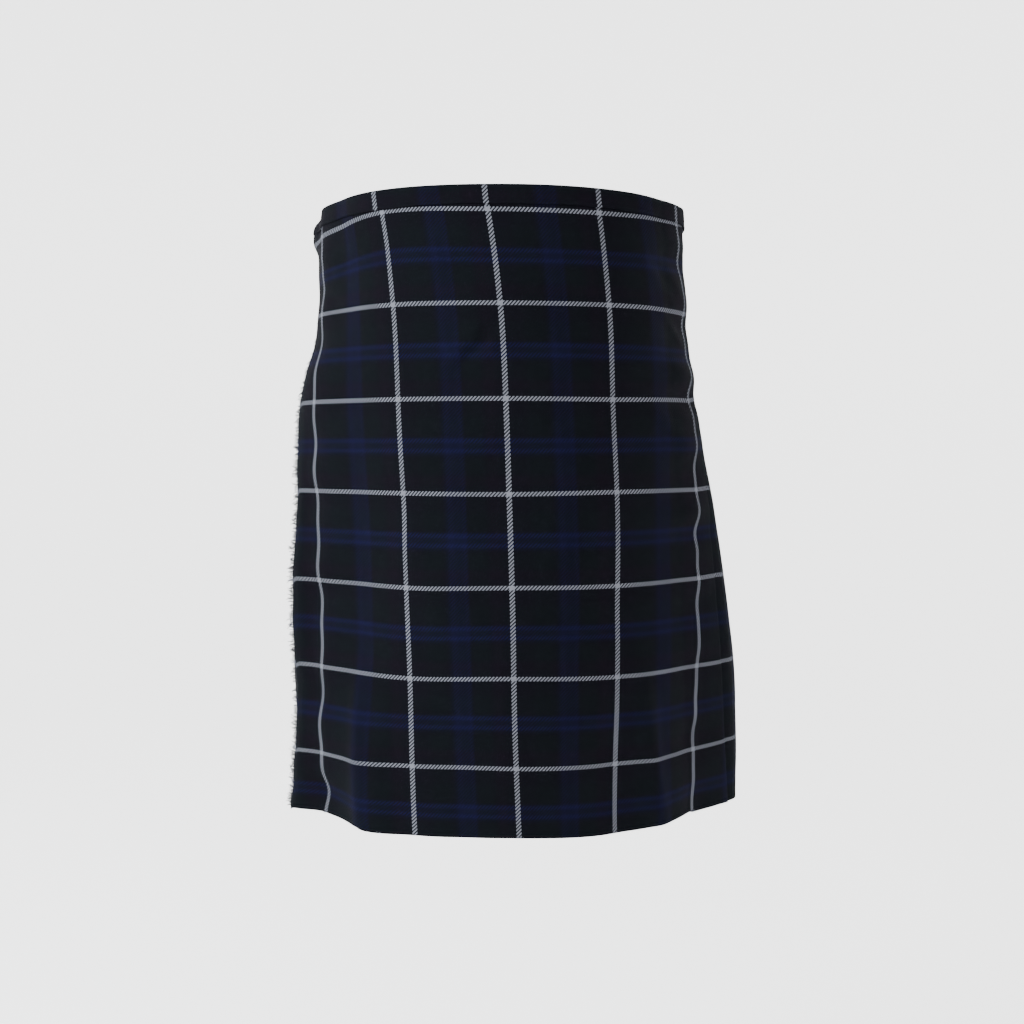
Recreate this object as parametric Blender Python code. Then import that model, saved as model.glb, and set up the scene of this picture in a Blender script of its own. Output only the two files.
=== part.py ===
"""A Scottish kilt as it is worn, with nobody inside it.

Metres, +Z up.  The origin is the middle of the waist at the top of the waistband, the wearer
faces -Y and the wearer's left is +X.  One length of cloth makes the over apron, the knife
pleats and the under apron, and a band of the same cloth binds its top edge.

Every piece is laid out on the rings of the body space.  A point is given by its height, by s,
the distance round the ring from the middle stripe of the apron towards the wearer's left, and
by its level, the distance out from the ring.
"""
import math

import bmesh
import bpy
import numpy as np

LENGTH = 0.610            # waist to hem
REPEAT = 0.1038           # width of one repeat of the tartan
CLOTH = 0.0010            # thickness of the cloth
AIR = 0.00035             # between two layers
SEAM = 0.0003             # between two pieces where they are sewn
BAND_DROP = 0.018         # depth of the waistband
PLEATS = 22
FIRST_LENGTH = 11         # pleats in the first length of cloth, up to the hidden join
FRINGE = 0.005            # reach of the fringe beyond the apron's edge
EDGE_BEYOND = 0.037       # from the outermost stripe to the fringed edge
LAP = 0.025               # of the over apron on the last pleat
INNERMOST = 0.0018        # level of the innermost layer
DEEPER = 0.0002           # of the under apron below the last pleat, more than AIR
FRONT_LEVEL = 0.0063      # level of the over apron across the front
STRAP_WIDTH, STRAP_THICK = 0.025, 0.0020
STRAP_TOP = -0.004
BAR = 0.0010              # radius of the buckle's wire

# Rings of the body space, half ellipses behind and half superellipses in front.
#  z      left   right   front    back   widest_y  square_left  square_right
RINGS = (
    (0.000, 0.163, 0.169, -0.1225, 0.128, 0.012, 2.40, 2.00),
    (-0.110, 0.174, 0.173, -0.1435, 0.139, -0.002, 1.60, 1.88),
    (-0.200, 0.193, 0.1855, -0.1385, 0.151, -0.001, 1.38, 1.54),
    (-0.235, 0.1965, 0.1925, -0.1345, 0.154, 0.005, 1.30, 1.45),
    (-0.290, 0.199, 0.205, -0.1270, 0.158, 0.018, 1.18, 1.33),
    (-0.370, 0.204, 0.2185, -0.1170, 0.164, 0.034, 1.19, 1.21),
    (-0.460, 0.211, 0.232, -0.1080, 0.171, 0.049, 1.22, 1.17),
    (-0.540, 0.204, 0.236, -0.0995, 0.178, 0.061, 1.60, 1.15),
    (-0.610, 0.188, 0.2365, -0.0920, 0.184, 0.0615, 1.67, 1.15),
)

# How the over apron sits: where its middle stripe runs, how far its crease is beyond the
# fourth stripe, and the level of its left side over the last pleat and at its free edge.
#  z      stripe_x  crease_beyond  left_level  edge_level
APRON = (
    (0.000, -0.017, 0.018, 0.0184, 0.0232),
    (-0.018, -0.015, 0.019, 0.0182, 0.0270),
    (-0.034, -0.012, 0.020, 0.0176, 0.0235),
    (-0.110, -0.003, 0.022, 0.0128, 0.0132),
    (-0.235, 0.004, 0.026, 0.0135, 0.0166),
    (-0.290, 0.006, 0.029, 0.0155, 0.0205),
    (-0.400, 0.009, 0.035, 0.0165, 0.0262),
    (-0.510, 0.011, 0.044, 0.0165, 0.0200),
    (-0.610, 0.015, 0.052, 0.0160, 0.0400),
)

# Soft ridges and troughs of the front, which fade in from start to full.
#  name                 s_top  s_hem   start   full   half_width  height
FOLDS = (
    ("left corner", -0.140, -0.150, -0.42, -0.61, 0.036, 0.016),
    ("left side", -0.192, -0.190, -0.42, -0.61, 0.030, -0.003),
    ("right corner", 0.140, 0.150, -0.40, -0.61, 0.036, 0.0045),
    ("right side", 0.200, 0.208, -0.40, -0.61, 0.036, -0.0045),
    ("middle hollow", 0.020, 0.060, -0.45, -0.61, 0.050, -0.004),
)

# Swing of the pleats below the part that is sewn down.
#  waves_round  phase  height at the hem
SWING = ((3.2, 0.10, 0.0045), (5.3, 0.35, 0.0025))
FELL = -0.235             # the pleats are sewn down to here

CLOTH_ROWS = (-0.0016, -BAND_DROP, -0.034, -0.110, FELL, -0.290, -0.400, -0.510, -LENGTH)
FRONT_STATIONS = 18
SOFTEN = 28               # steps of 2880 round a ring, each way

TARTAN = (0.012, 0.014, 0.020, 1.0)
LEATHER = (0.012, 0.009, 0.008, 1.0)
NICKEL = (0.62, 0.60, 0.57, 1.0)


def table(rows, z, column):
    """Value of a column at height z, on a smooth curve through the table's rows."""
    x = np.array([-row[0] for row in rows])
    y = np.array([row[column] for row in rows])
    slope = np.gradient(y, x)
    at = min(max(-z, x[0]), x[-1])
    i = min(int(np.searchsorted(x, at, side="right")) - 1, len(x) - 2)
    h = x[i + 1] - x[i]
    t = (at - x[i]) / h
    return float(
        (1 + 2 * t) * (1 - t) ** 2 * y[i] + t * (1 - t) ** 2 * h * slope[i]
        + t * t * (3 - 2 * t) * y[i + 1] + t * t * (t - 1) * h * slope[i + 1]
    )


def smooth(a, b, x):
    t = min(max((x - a) / (b - a), 0.0), 1.0)
    return t * t * (3 - 2 * t)


def soften(values):
    """A closed outline, averaged twice over SOFTEN neighbours on each side."""
    window = 2 * SOFTEN + 1
    for _ in range(2):
        total = np.cumsum(np.concatenate((values[-SOFTEN - 1:], values, values[:SOFTEN])))
        values = (total[window:] - total[:-window]) / window
    return np.append(values, values[0])


class Ring:
    """The body space at one height, and the lines on it that every layer shares."""

    def __init__(self, z):
        self.z = z
        left, right, front, back, mid, sq_l, sq_r = (table(RINGS, z, k) for k in range(1, 8))
        t = np.linspace(-0.5 * np.pi, 1.5 * np.pi, 2881)
        c, s = np.cos(t), np.sin(t)
        square = np.where(s > 0, 2.0, np.where(c > 0, sq_r, sq_l))
        x = np.where(c > 0, right, left) * np.sign(c) * np.abs(c) ** (2 / np.maximum(square, 2.0))
        y = mid + np.where(s > 0, back - mid, mid - front) * np.sign(s) * np.abs(s) ** (2 / square)
        run = np.concatenate(([0.0], np.cumsum(np.hypot(np.diff(x), np.diff(y)))))
        even = np.linspace(0.0, run[-1], len(t))[:-1]
        x, y = soften(np.interp(even, run, x)), soften(np.interp(even, run, y))
        run = np.concatenate(([0.0], np.cumsum(np.hypot(np.diff(x), np.diff(y)))))
        self.length = float(run[-1])
        stripe = table(APRON, z, 1)
        near = np.abs(t + 0.5 * np.pi) < 0.6
        near |= np.abs(t - 1.5 * np.pi) < 0.6
        start = run[near][np.argmin(np.abs(x[near] - stripe))]
        self.run, self.x, self.y, self.start = run, x, y, float(start)
        self.edge = -2 * REPEAT - EDGE_BEYOND
        self.crease = 2 * REPEAT + table(APRON, z, 2)
        self.last = self.length + self.edge + LAP
        share = np.cumsum([1 + 0.05 * math.sin(2.4 * i + 0.7) for i in range(PLEATS)])
        self.lines = self.crease + (self.last - self.crease) * np.concatenate(([0], share / share[-1]))
        width = (self.last - self.crease) / PLEATS
        self.before = {-1: self.crease - width, -2: self.crease - 2 * width}
        widths = np.diff(self.lines)
        self.slope = 2 * (CLOTH + AIR) / widths.min()
        self.base = INNERMOST + self.slope * 2.06 * widths.max()
        self.top = self.base + self.slope * widths.max()

    def line(self, i):
        """Distance round the ring of crease i; 0 is the apron's own crease."""
        return self.before[i] if i < 0 else float(self.lines[i])

    def fold(self, s):
        """Soft ridges, troughs and the swing of the pleats."""
        s = (s + self.length / 2) % self.length - self.length / 2
        out = 0.0
        for _, s_top, s_hem, start, full, half, height in FOLDS:
            along = smooth(-start, -full, -self.z)
            centre = s_top + (s_hem - s_top) * (-self.z / LENGTH)
            out += height * along * math.exp(-((s - centre) / half) ** 2)
        part = (s % self.length - self.crease) / (self.last - self.crease)
        if 0 < part < 1:
            hang = smooth(-FELL, LENGTH, -self.z) * math.sin(math.pi * part) ** 0.5
            for waves, phase, height in SWING:
                out += hang * height * math.sin(2 * math.pi * (waves * part + phase))
        return out

    def at(self, s, level):
        """The point at distance s round the ring and level out from it."""
        run = (self.start + s) % self.length
        x, y = np.interp(run, self.run, self.x), np.interp(run, self.run, self.y)
        a, b = (run - 0.004) % self.length, (run + 0.004) % self.length
        dx = np.interp(b, self.run, self.x) - np.interp(a, self.run, self.x)
        dy = np.interp(b, self.run, self.y) - np.interp(a, self.run, self.y)
        size = math.hypot(dx, dy)
        out = level + self.fold(s)
        return (float(x + dy / size * out), float(y - dx / size * out), self.z)


_rings = {}


def ring(z):
    key = round(z, 6)
    if key not in _rings:
        _rings[key] = Ring(key)
    return _rings[key]


def front_lines(r):
    """Shared lines across the front, from the free edge to the start of the underfold."""
    first, last = r.last - r.length, r.line(-2)
    inner = [first + (last - first) * k / (FRONT_STATIONS - 1) for k in range(FRONT_STATIONS)]
    return [r.edge] + inner


def over_level(r, s):
    """Level of the over apron's middle surface."""
    if s >= r.line(-2) - 1e-9:
        return r.base + r.slope * (s - r.line(-1))
    joint = r.base + r.slope * (r.line(-2) - r.line(-1))
    level = FRONT_LEVEL + (joint - FRONT_LEVEL) * smooth(r.line(-2) - 0.04, r.line(-2), s)
    left = table(APRON, r.z, 3)
    level += (left - FRONT_LEVEL) * smooth(0.150, 0.208, -s)
    level += (table(APRON, r.z, 4) - left) * smooth(0.2076, -r.edge, -s)
    return level


def under_level(r, s):
    """Level of the under apron once it has left the last pleat."""
    start = r.last - r.length
    leaving = r.base - DEEPER
    return leaving + (INNERMOST - leaving) * smooth(start, start + 0.062, s)


def plain(s, level, side=1):
    return (s, level, 0.0, side * CLOTH / 2)


def turn(s, level, side):
    return (s, level, CLOTH / 2, side * CLOTH / 2)


def face_level(r, j, s):
    return r.base + r.slope * (s - r.line(j - 1))


def return_level(r, j, s):
    return face_level(r, j, s) - r.slope * (r.line(j) - r.line(j - 1)) / 2


def pleat_run(r, first, last):
    """Path of pleats first to last: each goes out to its crease and back beneath itself."""
    path = []
    for j in range(first, last + 1):
        start = turn if j > first else plain
        path.append(start(r.line(j - 3), face_level(r, j, r.line(j - 3)), 1))
        for i in (j - 2, j - 1):
            path.append(plain(r.line(i), face_level(r, j, r.line(i))))
        path.append(turn(r.line(j), face_level(r, j, r.line(j)), 1))
        path.append(turn(r.line(j), return_level(r, j, r.line(j)), -1))
        path.append(plain(r.line(j - 1), return_level(r, j, r.line(j - 1)), -1))
        inner = r.line(j - 2)
        if j < last:
            path.append(turn(inner, return_level(r, j, inner), -1))
        else:
            path.append(plain(inner + 0.0006, return_level(r, j, inner + 0.0006), -1))
    return path


def over_run(r):
    """Path of the over apron, its crease and the layer folded back beneath it."""
    path = [plain(s, over_level(r, s)) for s in front_lines(r)]
    path.append(plain(r.line(-1), over_level(r, r.line(-1))))
    below = (CLOTH + AIR)
    path.append(turn(r.line(0), over_level(r, r.line(0)), 1))
    path.append(turn(r.line(0), over_level(r, r.line(0)) - below, -1))
    path.append(plain(r.line(-1), over_level(r, r.line(-1)) - below, -1))
    end = r.line(-2) + 0.0006
    path.append(plain(end, over_level(r, end) - below, -1))
    return path


def under_run(r):
    """Path of the under apron, from inside the last pleat across the front."""
    n = PLEATS + 1
    path = [plain(r.line(i), face_level(r, n, r.line(i)) - DEEPER) for i in (n - 3, n - 2)]
    for s in front_lines(r)[1:-2]:
        path.append(plain(s + r.length, under_level(r, s)))
    return path


def material(name, colour, rough, metal=0.0):
    m = bpy.data.materials.new(name)
    m.use_nodes = True
    shader = m.node_tree.nodes["Principled BSDF"]
    shader.inputs["Base Color"].default_value = colour
    shader.inputs["Roughness"].default_value = rough
    shader.inputs["Metallic"].default_value = metal
    m.diffuse_color = colour
    return m


def finish(name, bm, colour, rough, metal=0.0, soft=True):
    bmesh.ops.recalc_face_normals(bm, faces=bm.faces)
    mesh = bpy.data.meshes.new(name)
    bm.to_mesh(mesh)
    bm.free()
    if soft:
        mesh.shade_smooth()
        mesh.set_sharp_from_angle(angle=math.radians(35))
    obj = bpy.data.objects.new(name, mesh)
    bpy.context.scene.collection.objects.link(obj)
    mesh.materials.append(material(name, colour, rough, metal))
    return obj


def loft(bm, loops, along=None):
    """Skin a list of equal loops of points and close both ends with strips of quads.

    Where along is given, the distance round the ring of each point of a loop, every square is
    split on the same slant, so that layers which lie on each other stay parallel.
    """
    rows = [[bm.verts.new(p) for p in loop] for loop in loops]
    n = len(rows[0])
    for a, b in zip(rows, rows[1:]):
        for i in range(n):
            k = (i + 1) % n
            if along is None:
                bm.faces.new((a[i], a[k], b[k], b[i]))
            elif along[k] >= along[i]:
                bm.faces.new((a[i], a[k], b[k]))
                bm.faces.new((a[i], b[k], b[i]))
            else:
                bm.faces.new((a[i], a[k], b[i]))
                bm.faces.new((a[k], b[k], b[i]))
    for row in (rows[0], rows[-1]):
        for i in range(n // 2 - 1):
            bm.faces.new((row[i], row[i + 1], row[n - 2 - i], row[n - 1 - i]))


def cloth(name, run, rows=CLOTH_ROWS):
    """A wall of cloth that follows run(ring) at every height."""
    loops = []
    for z in rows:
        r = ring(z)
        path = run(r)
        outer = [r.at(s + ds, level + dl) for s, level, ds, dl in path]
        inner = [r.at(s - ds, level - dl) for s, level, ds, dl in path]
        loops.append(outer + inner[::-1])
    along = [p[0] for p in path] + [p[0] for p in path[::-1]]
    bm = bmesh.new()
    loft(bm, loops, along)
    return finish(name, bm, TARTAN, 0.9)


def band(name, stations):
    """A binding folded over the top edge: stations are (s at height z, outer, inner level)."""
    half = CLOTH / 2
    bm = bmesh.new()
    loops = []
    for s_at, outer_at, inner_at in stations:
        top, low, under = ring(0.0), ring(-BAND_DROP), ring(-CLOTH)
        section = (
            (low, outer_at, half), (top, outer_at, half), (top, inner_at, -half),
            (low, inner_at, -half), (low, inner_at, half), (under, inner_at, half),
            (under, outer_at, -half), (low, outer_at, -half),
        )
        loops.append([r.at(s_at(r), level(r) + off) for r, level, off in section])
    rows = [[bm.verts.new(p) for p in loop] for loop in loops]
    for a, b in zip(rows, rows[1:]):
        for i in range(8):
            k = (i + 1) % 8
            if i in (0, 1, 4, 5):      # the same slant as the cloth it binds
                bm.faces.new((a[i], a[k], b[i]))
                bm.faces.new((a[k], b[k], b[i]))
            else:
                bm.faces.new((a[i], a[k], b[k]))
                bm.faces.new((a[i], b[k], b[i]))
    for row in (rows[0], rows[-1]):
        bm.faces.new((row[0], row[1], row[6], row[7]))
        bm.faces.new((row[1], row[2], row[5], row[6]))
        bm.faces.new((row[2], row[3], row[4], row[5]))
    return finish(name, bm, TARTAN, 0.9)


STEP_OUT = CLOTH + 0.0005  # from a layer's middle to the next layer's middle at a seam
INSIDE = CLOTH / 2        # level of the band's inner leaf under the pleats


def over_band():
    count = FRONT_STATIONS + 1

    def station(s_at, join):
        def inner(r):
            loose = over_level(r, s_at(r)) - STEP_OUT
            return loose + (INSIDE - loose) * join
        return (s_at, lambda r: over_level(r, s_at(r)) + STEP_OUT, inner)

    out = [station(lambda r, k=k: front_lines(r)[k], 0.0) for k in range(count - 1)]
    out.append(station(lambda r: front_lines(r)[count - 1] - 0.0005, 1.0))
    out.append(station(lambda r: r.line(-1), 1.0))
    flat = lambda r: r.top + STEP_OUT
    out.append((lambda r: r.line(0), flat, lambda r: INSIDE))
    out.append((lambda r: r.line(0) + 0.004, flat, lambda r: INSIDE))
    return band("waistband_over", out)


def back_band():
    flat = lambda r: r.top + STEP_OUT
    inside = lambda r: INSIDE
    out = [(lambda r: r.line(0) + 0.004 + SEAM, flat, inside)]
    out += [(lambda r, i=i: r.line(i), flat, inside) for i in range(1, PLEATS)]
    out.append((lambda r: r.line(PLEATS) + CLOTH, flat, inside))
    return band("waistband_back", out)


def under_band():
    outer = lambda s_at: (lambda r: under_level(r, s_at(r)) + STEP_OUT)
    inside = lambda r: INSIDE
    first = lambda r: r.last - r.length + CLOTH + 2 * SEAM
    out = [(first, outer(first), inside)]
    for k in range(2, FRONT_STATIONS - 1):
        s_at = lambda r, k=k: front_lines(r)[k]
        out.append((s_at, outer(s_at), inside))
    return band("waistband_under", out)


def fringe():
    """The reach of the threads along the over apron's free edge."""
    rows = tuple(z for z in CLOTH_ROWS if z < -BAND_DROP - 0.001)
    rows = (-BAND_DROP - 0.001,) + rows[:-1] + (-LENGTH + 0.001,)
    loops = []
    for z in rows:
        r = ring(z)
        near, far = r.edge - SEAM, r.edge - SEAM - FRINGE
        grow = over_level(r, r.edge) - over_level(r, r.edge + 0.004)
        a, b = over_level(r, r.edge) + grow * 0.1, over_level(r, r.edge) + grow * 1.3
        h = 0.0004
        loops.append([r.at(near, a + h), r.at(far, b + h), r.at(far, b - h), r.at(near, a - h)])
    bm = bmesh.new()
    loft(bm, loops)
    return finish("apron_fringe", bm, TARTAN, 0.95)


# --- straps and buckles -----------------------------------------------------------------
# Each fastening is drawn flat: along runs from the apron towards the back, up is the level
# above the band's outer face, and it is then wrapped on the rings.  The tongue of the strap
# passes under the buckle's front bar, over its heel bar and through the keeper.

MIDDLE = STRAP_TOP - STRAP_WIDTH / 2
FACE = max(ring(0.0).top, ring(-BAND_DROP).top) + STEP_OUT + CLOTH / 2
FRONT_BAR, HEEL_BAR = 0.046, 0.070        # along, from the point where the strap shows
CHAPE_END, STRAP_TIP, KEEPER = 0.125, 0.112, 0.086
CHAPE = 0.0012                            # leather that holds the buckle
CHORD = 0.0002                            # what straight pieces round a curve take from a gap
GRIP = 0.0007                             # play of the leather round the heel bar
LOW = FACE + SEAM + CHORD + STRAP_THICK / 2       # strap against the band
SOLE_THICK = 0.0006                               # keeper, below the other leather
SOLE = FACE + SEAM + 2 * CHORD                    # its underside, straight from top to bottom
HEEL_UP = SOLE + SOLE_THICK + SEAM + CHORD + CHAPE + GRIP + BAR    # middle of the heel bar
OVER = HEEL_UP + BAR + GRIP + CHAPE + SEAM + CHORD + STRAP_THICK / 2
FRONT_UP = LOW + STRAP_THICK / 2 + SEAM + CHORD + BAR


def strip(path, thick):
    """Both sides of a strip of the given thickness along an (along, up) path, mitred."""
    p = np.array(path, float)
    d = np.diff(p, axis=0)
    d /= np.linalg.norm(d, axis=1)[:, None]
    n = np.stack([-d[:, 1], d[:, 0]], axis=1)
    first, last = n[:1], n[-1:]
    mid = n[:-1] + n[1:]
    mid /= (np.linalg.norm(mid, axis=1) ** 2)[:, None] / 2
    off = np.concatenate((first, mid, last)) * thick / 2
    return p + off, p - off


def dense(path, step=0.006):
    """The same path with more points wherever it runs outside the waist."""
    out = [path[0]]
    for a, b in zip(path, path[1:]):
        pieces = max(1, math.ceil(abs(b[0] - a[0]) / step)) if min(a[1], b[1]) > 0 else 1
        for k in range(1, pieces + 1):
            out.append((a[0] + (b[0] - a[0]) * k / pieces, a[1] + (b[1] - a[1]) * k / pieces))
    return out


def wrap(points, start, way):
    """Wrap flat points (along, up, z) on the kilt's rings."""
    return [ring(z).at(start(ring(z)) + way * along, up) for along, up, z in points]


def strap_solid(name, path, thick, low, high, start, way, colour, rough):
    """A flat strip of leather, standing on edge between heights low and high."""
    a, b = strip(path, thick)
    bm = bmesh.new()
    loops = []
    for z in (high, (high + low) / 2, low):
        loop = [(x, u, z) for x, u in a] + [(x, u, z) for x, u in b[::-1]]
        loops.append(wrap(loop, start, way))
    loft(bm, loops)
    return finish(name, bm, colour, rough)


def cut(obj, name, loops):
    """Cut a block, given as two loops of four points, out of obj."""
    bm = bmesh.new()
    loft(bm, loops)
    tool = finish(name, bm, LEATHER, 0.5, soft=False)
    mod = obj.modifiers.new(name, "BOOLEAN")
    mod.operation, mod.solver, mod.object = "DIFFERENCE", "EXACT", tool
    tool.hide_render, tool.display_type = True, "WIRE"


def block(along, up, heights, start, way):
    """Loops of a block between pairs of along, up and height."""
    loops = []
    for z in heights:
        flat = [(along[0], up[0], z), (along[1], up[0], z), (along[1], up[1], z), (along[0], up[1], z)]
        loops.append(wrap(flat, start, way))
    return loops


def tube(bm, path, radius, start, way, closed=False, sides=6):
    """A wire along flat points (along, up, z)."""
    p = np.array(path, float)
    n = len(p)
    loops = []
    for i in range(n):
        a = p[(i - 1) % n] if closed or i > 0 else p[i]
        b = p[(i + 1) % n] if closed or i < n - 1 else p[i]
        t = (b - a) / np.linalg.norm(b - a)
        up = np.array((0.0, 1.0, 0.0))
        side = np.cross(t, up)
        side /= np.linalg.norm(side)
        up = np.cross(side, t)
        turn_in = 1.0
        if closed or 0 < i < n - 1:
            c = float(np.dot((p[i] - a) / np.linalg.norm(p[i] - a), t))
            turn_in = 1 / max(c, 0.6)
        ring_points = []
        for k in range(sides):
            w = 2 * math.pi * (k + 0.5) / sides
            ring_points.append(p[i] + radius * (math.cos(w) * side * turn_in + math.sin(w) * up))
        loops.append(wrap([tuple(q) for q in ring_points], start, way))
    rows = [[bm.verts.new(q) for q in loop] for loop in loops]
    pairs = list(zip(rows, rows[1:])) + ([(rows[-1], rows[0])] if closed else [])
    for a, b in pairs:
        for k in range(sides):
            j = (k + 1) % sides
            bm.faces.new((a[k], a[j], b[j], b[k]))
    if not closed:
        bm.faces.new(rows[0])
        bm.faces.new(rows[-1])


def fastening(side, start, way, lead):
    """Strap, buckle, the leather that holds it, and keeper; lead is the strap's hidden path."""
    top, low = STRAP_TOP, STRAP_TOP - STRAP_WIDTH
    path = lead + [
        (FRONT_BAR - 0.022, LOW), (FRONT_BAR + 0.004, LOW), (FRONT_BAR + 0.007, LOW + 0.0006),
        (HEEL_BAR - 0.007, OVER - 0.0010), (HEEL_BAR - 0.002, OVER), (HEEL_BAR + 0.014, OVER),
        (KEEPER + 0.012, OVER - 0.0010), (STRAP_TIP, OVER - 0.0018),
    ]
    strap = strap_solid("strap_" + side, dense(path), STRAP_THICK, low, top, start, way, LEATHER, 0.42)
    slot = block((HEEL_BAR - 0.0175, HEEL_BAR + 0.004), (LOW - 0.004, OVER + 0.004),
                 (MIDDLE + 0.0016, MIDDLE - 0.0016), start, way)
    cut(strap, "hole_" + side, slot)

    # The leather that holds the buckle turns round the heel bar and back over itself.
    r = BAR + GRIP + CHAPE / 2
    round_bar = [(HEEL_BAR - r * math.sin(w), HEEL_UP - r * math.cos(w))
                 for w in np.linspace(0.0, math.pi, 6)]
    under = FACE + SEAM + CHORD + CHAPE / 2
    chape = [(CHAPE_END, under), (KEEPER + 0.016, under), (KEEPER + 0.006, HEEL_UP - r)]
    chape += round_bar + [(HEEL_BAR + 0.010, HEEL_UP + r)]
    holder = strap_solid("buckle_tab_" + side, dense(chape), CHAPE, low + 0.003, top - 0.003,
                         start, way, LEATHER, 0.42)
    slot = block((HEEL_BAR - 0.006, HEEL_BAR + 0.005), (HEEL_UP - 0.0005, OVER + 0.004),
                 (MIDDLE + 0.0022, MIDDLE - 0.0022), start, way)
    cut(holder, "notch_" + side, slot)

    # Buckle: a rounded frame of wire whose tongue lies across it.
    half = STRAP_WIDTH / 2 + 0.0005 + BAR
    corner = 0.003
    frame = [
        (HEEL_BAR, HEEL_UP, MIDDLE + half - corner), (HEEL_BAR, HEEL_UP, MIDDLE),
        (HEEL_BAR, HEEL_UP, MIDDLE - half + corner), (HEEL_BAR - corner, HEEL_UP, MIDDLE - half),
        (FRONT_BAR + corner, FRONT_UP, MIDDLE - half), (FRONT_BAR, FRONT_UP, MIDDLE - half + corner),
        (FRONT_BAR, FRONT_UP, MIDDLE), (FRONT_BAR, FRONT_UP, MIDDLE + half - corner),
        (FRONT_BAR + corner, FRONT_UP, MIDDLE + half), (HEEL_BAR - corner, HEEL_UP, MIDDLE + half),
    ]
    bm = bmesh.new()
    tube(bm, frame, BAR, start, way, closed=True)
    buckle = finish("buckle_" + side, bm, NICKEL, 0.3, 1.0)
    bm = bmesh.new()
    rest = FRONT_UP + BAR + 0.0007
    pin = [(HEEL_BAR, HEEL_UP + 0.0003, MIDDLE), (HEEL_BAR - 0.004, HEEL_UP + 0.0012, MIDDLE),
           (FRONT_BAR + 0.006, rest + 0.0003, MIDDLE), (FRONT_BAR - 0.002, rest - 0.0001, MIDDLE)]
    tube(bm, pin, 0.0008, start, way)
    tongue = finish("tongue_tool_" + side, bm, NICKEL, 0.3, 1.0)
    mod = buckle.modifiers.new("tongue", "BOOLEAN")
    mod.operation, mod.solver, mod.object = "UNION", "EXACT", tongue
    tongue.hide_render, tongue.display_type = True, "WIRE"

    # Keeper: a leather ring round the strap and the leather below it.
    lo, hi = SOLE, OVER + STRAP_THICK / 2 + SEAM + CHORD
    bm = bmesh.new()
    loops = []
    for along in (KEEPER - 0.0035, KEEPER + 0.0035):
        outer = [(lo, low - 0.0018), (lo, top + 0.0018), (hi + 0.0010, top + 0.0018),
                 (hi + 0.0010, low - 0.0018)]
        inner = [(lo + SOLE_THICK, low - 0.0006), (lo + SOLE_THICK, top + 0.0006), (hi, top + 0.0006),
                 (hi, low - 0.0006)]
        loops.append((wrap([(along, u, z) for u, z in outer], start, way),
                      wrap([(along, u, z) for u, z in inner], start, way)))
    (oa, ia), (ob, ib) = [[[bm.verts.new(q) for q in part] for part in pair] for pair in loops]
    for k in range(4):
        j = (k + 1) % 4
        bm.faces.new((oa[k], oa[j], ob[j], ob[k]))
        bm.faces.new((ia[k], ia[j], ib[j], ib[k]))
        bm.faces.new((oa[k], oa[j], ia[j], ia[k]))
        bm.faces.new((ob[k], ob[j], ib[j], ib[k]))
    finish("keeper_" + side, bm, LEATHER, 0.42)


def under_strap_lead(start_s, r):
    """Hidden part of the wearer's left strap: inside the waist, then out through the slit."""
    inside = -0.0020
    stops = [s for s in front_lines(r)[FRONT_STATIONS - 4:]] + [r.line(-1)]
    stops += [r.line(i) for i in range(0, 4)]
    lead = [(s - start_s, inside) for s in stops if s < start_s - 0.006]
    return lead + [(0.0, inside), (0.0, LOW)]


def build():
    for obj in list(bpy.data.objects):
        bpy.data.objects.remove(obj, do_unlink=True)

    cloth("over_apron", over_run)
    fringe()
    first = cloth("pleats_first", lambda r: pleat_run(r, 1, FIRST_LENGTH))
    cloth("pleats_second", lambda r: pleat_run(r, FIRST_LENGTH + 1, PLEATS))
    cloth("under_apron", under_run)
    over_band()
    back = back_band()
    under_band()

    # Wearer's right: the strap is sewn beneath the over apron's edge and runs to the back.
    fastening("right", lambda r: r.edge, -1, [(-0.030, LOW), (-0.010, LOW)])

    # Wearer's left: the under apron's strap comes out through a slit in the band and pleats.
    slit = lambda r: r.line(3) + 0.4 * (r.line(4) - r.line(3))
    lead = under_strap_lead(slit(ring(MIDDLE)), ring(MIDDLE))
    fastening("left", slit, 1, lead)
    for obj, name in ((first, "slit_in_pleats"), (back, "slit_in_band")):
        cut(obj, name, block((-0.0019, 0.0019), (-0.004, FACE + 0.003),
                             (STRAP_TOP + 0.0006, STRAP_TOP - STRAP_WIDTH - 0.0008), slit, 1))


build()
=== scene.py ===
"""A Scottish kilt in a dark tartan, filled out as it is worn, with nobody inside it.

Metres, +Z up.  The origin is the middle of the waist at the top of the waistband, the wearer
faces -Y and the wearer's left is +X.  A point of a piece is given by s, the distance round the
body space from the apron's middle stripe towards +X, by its height z and by its level, the
distance out from the body space.  Cloth also has its own measure: u across the stripes and v
down from the top edge, which its UV map holds in metres and the tartan is woven from.
"""
import math

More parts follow.
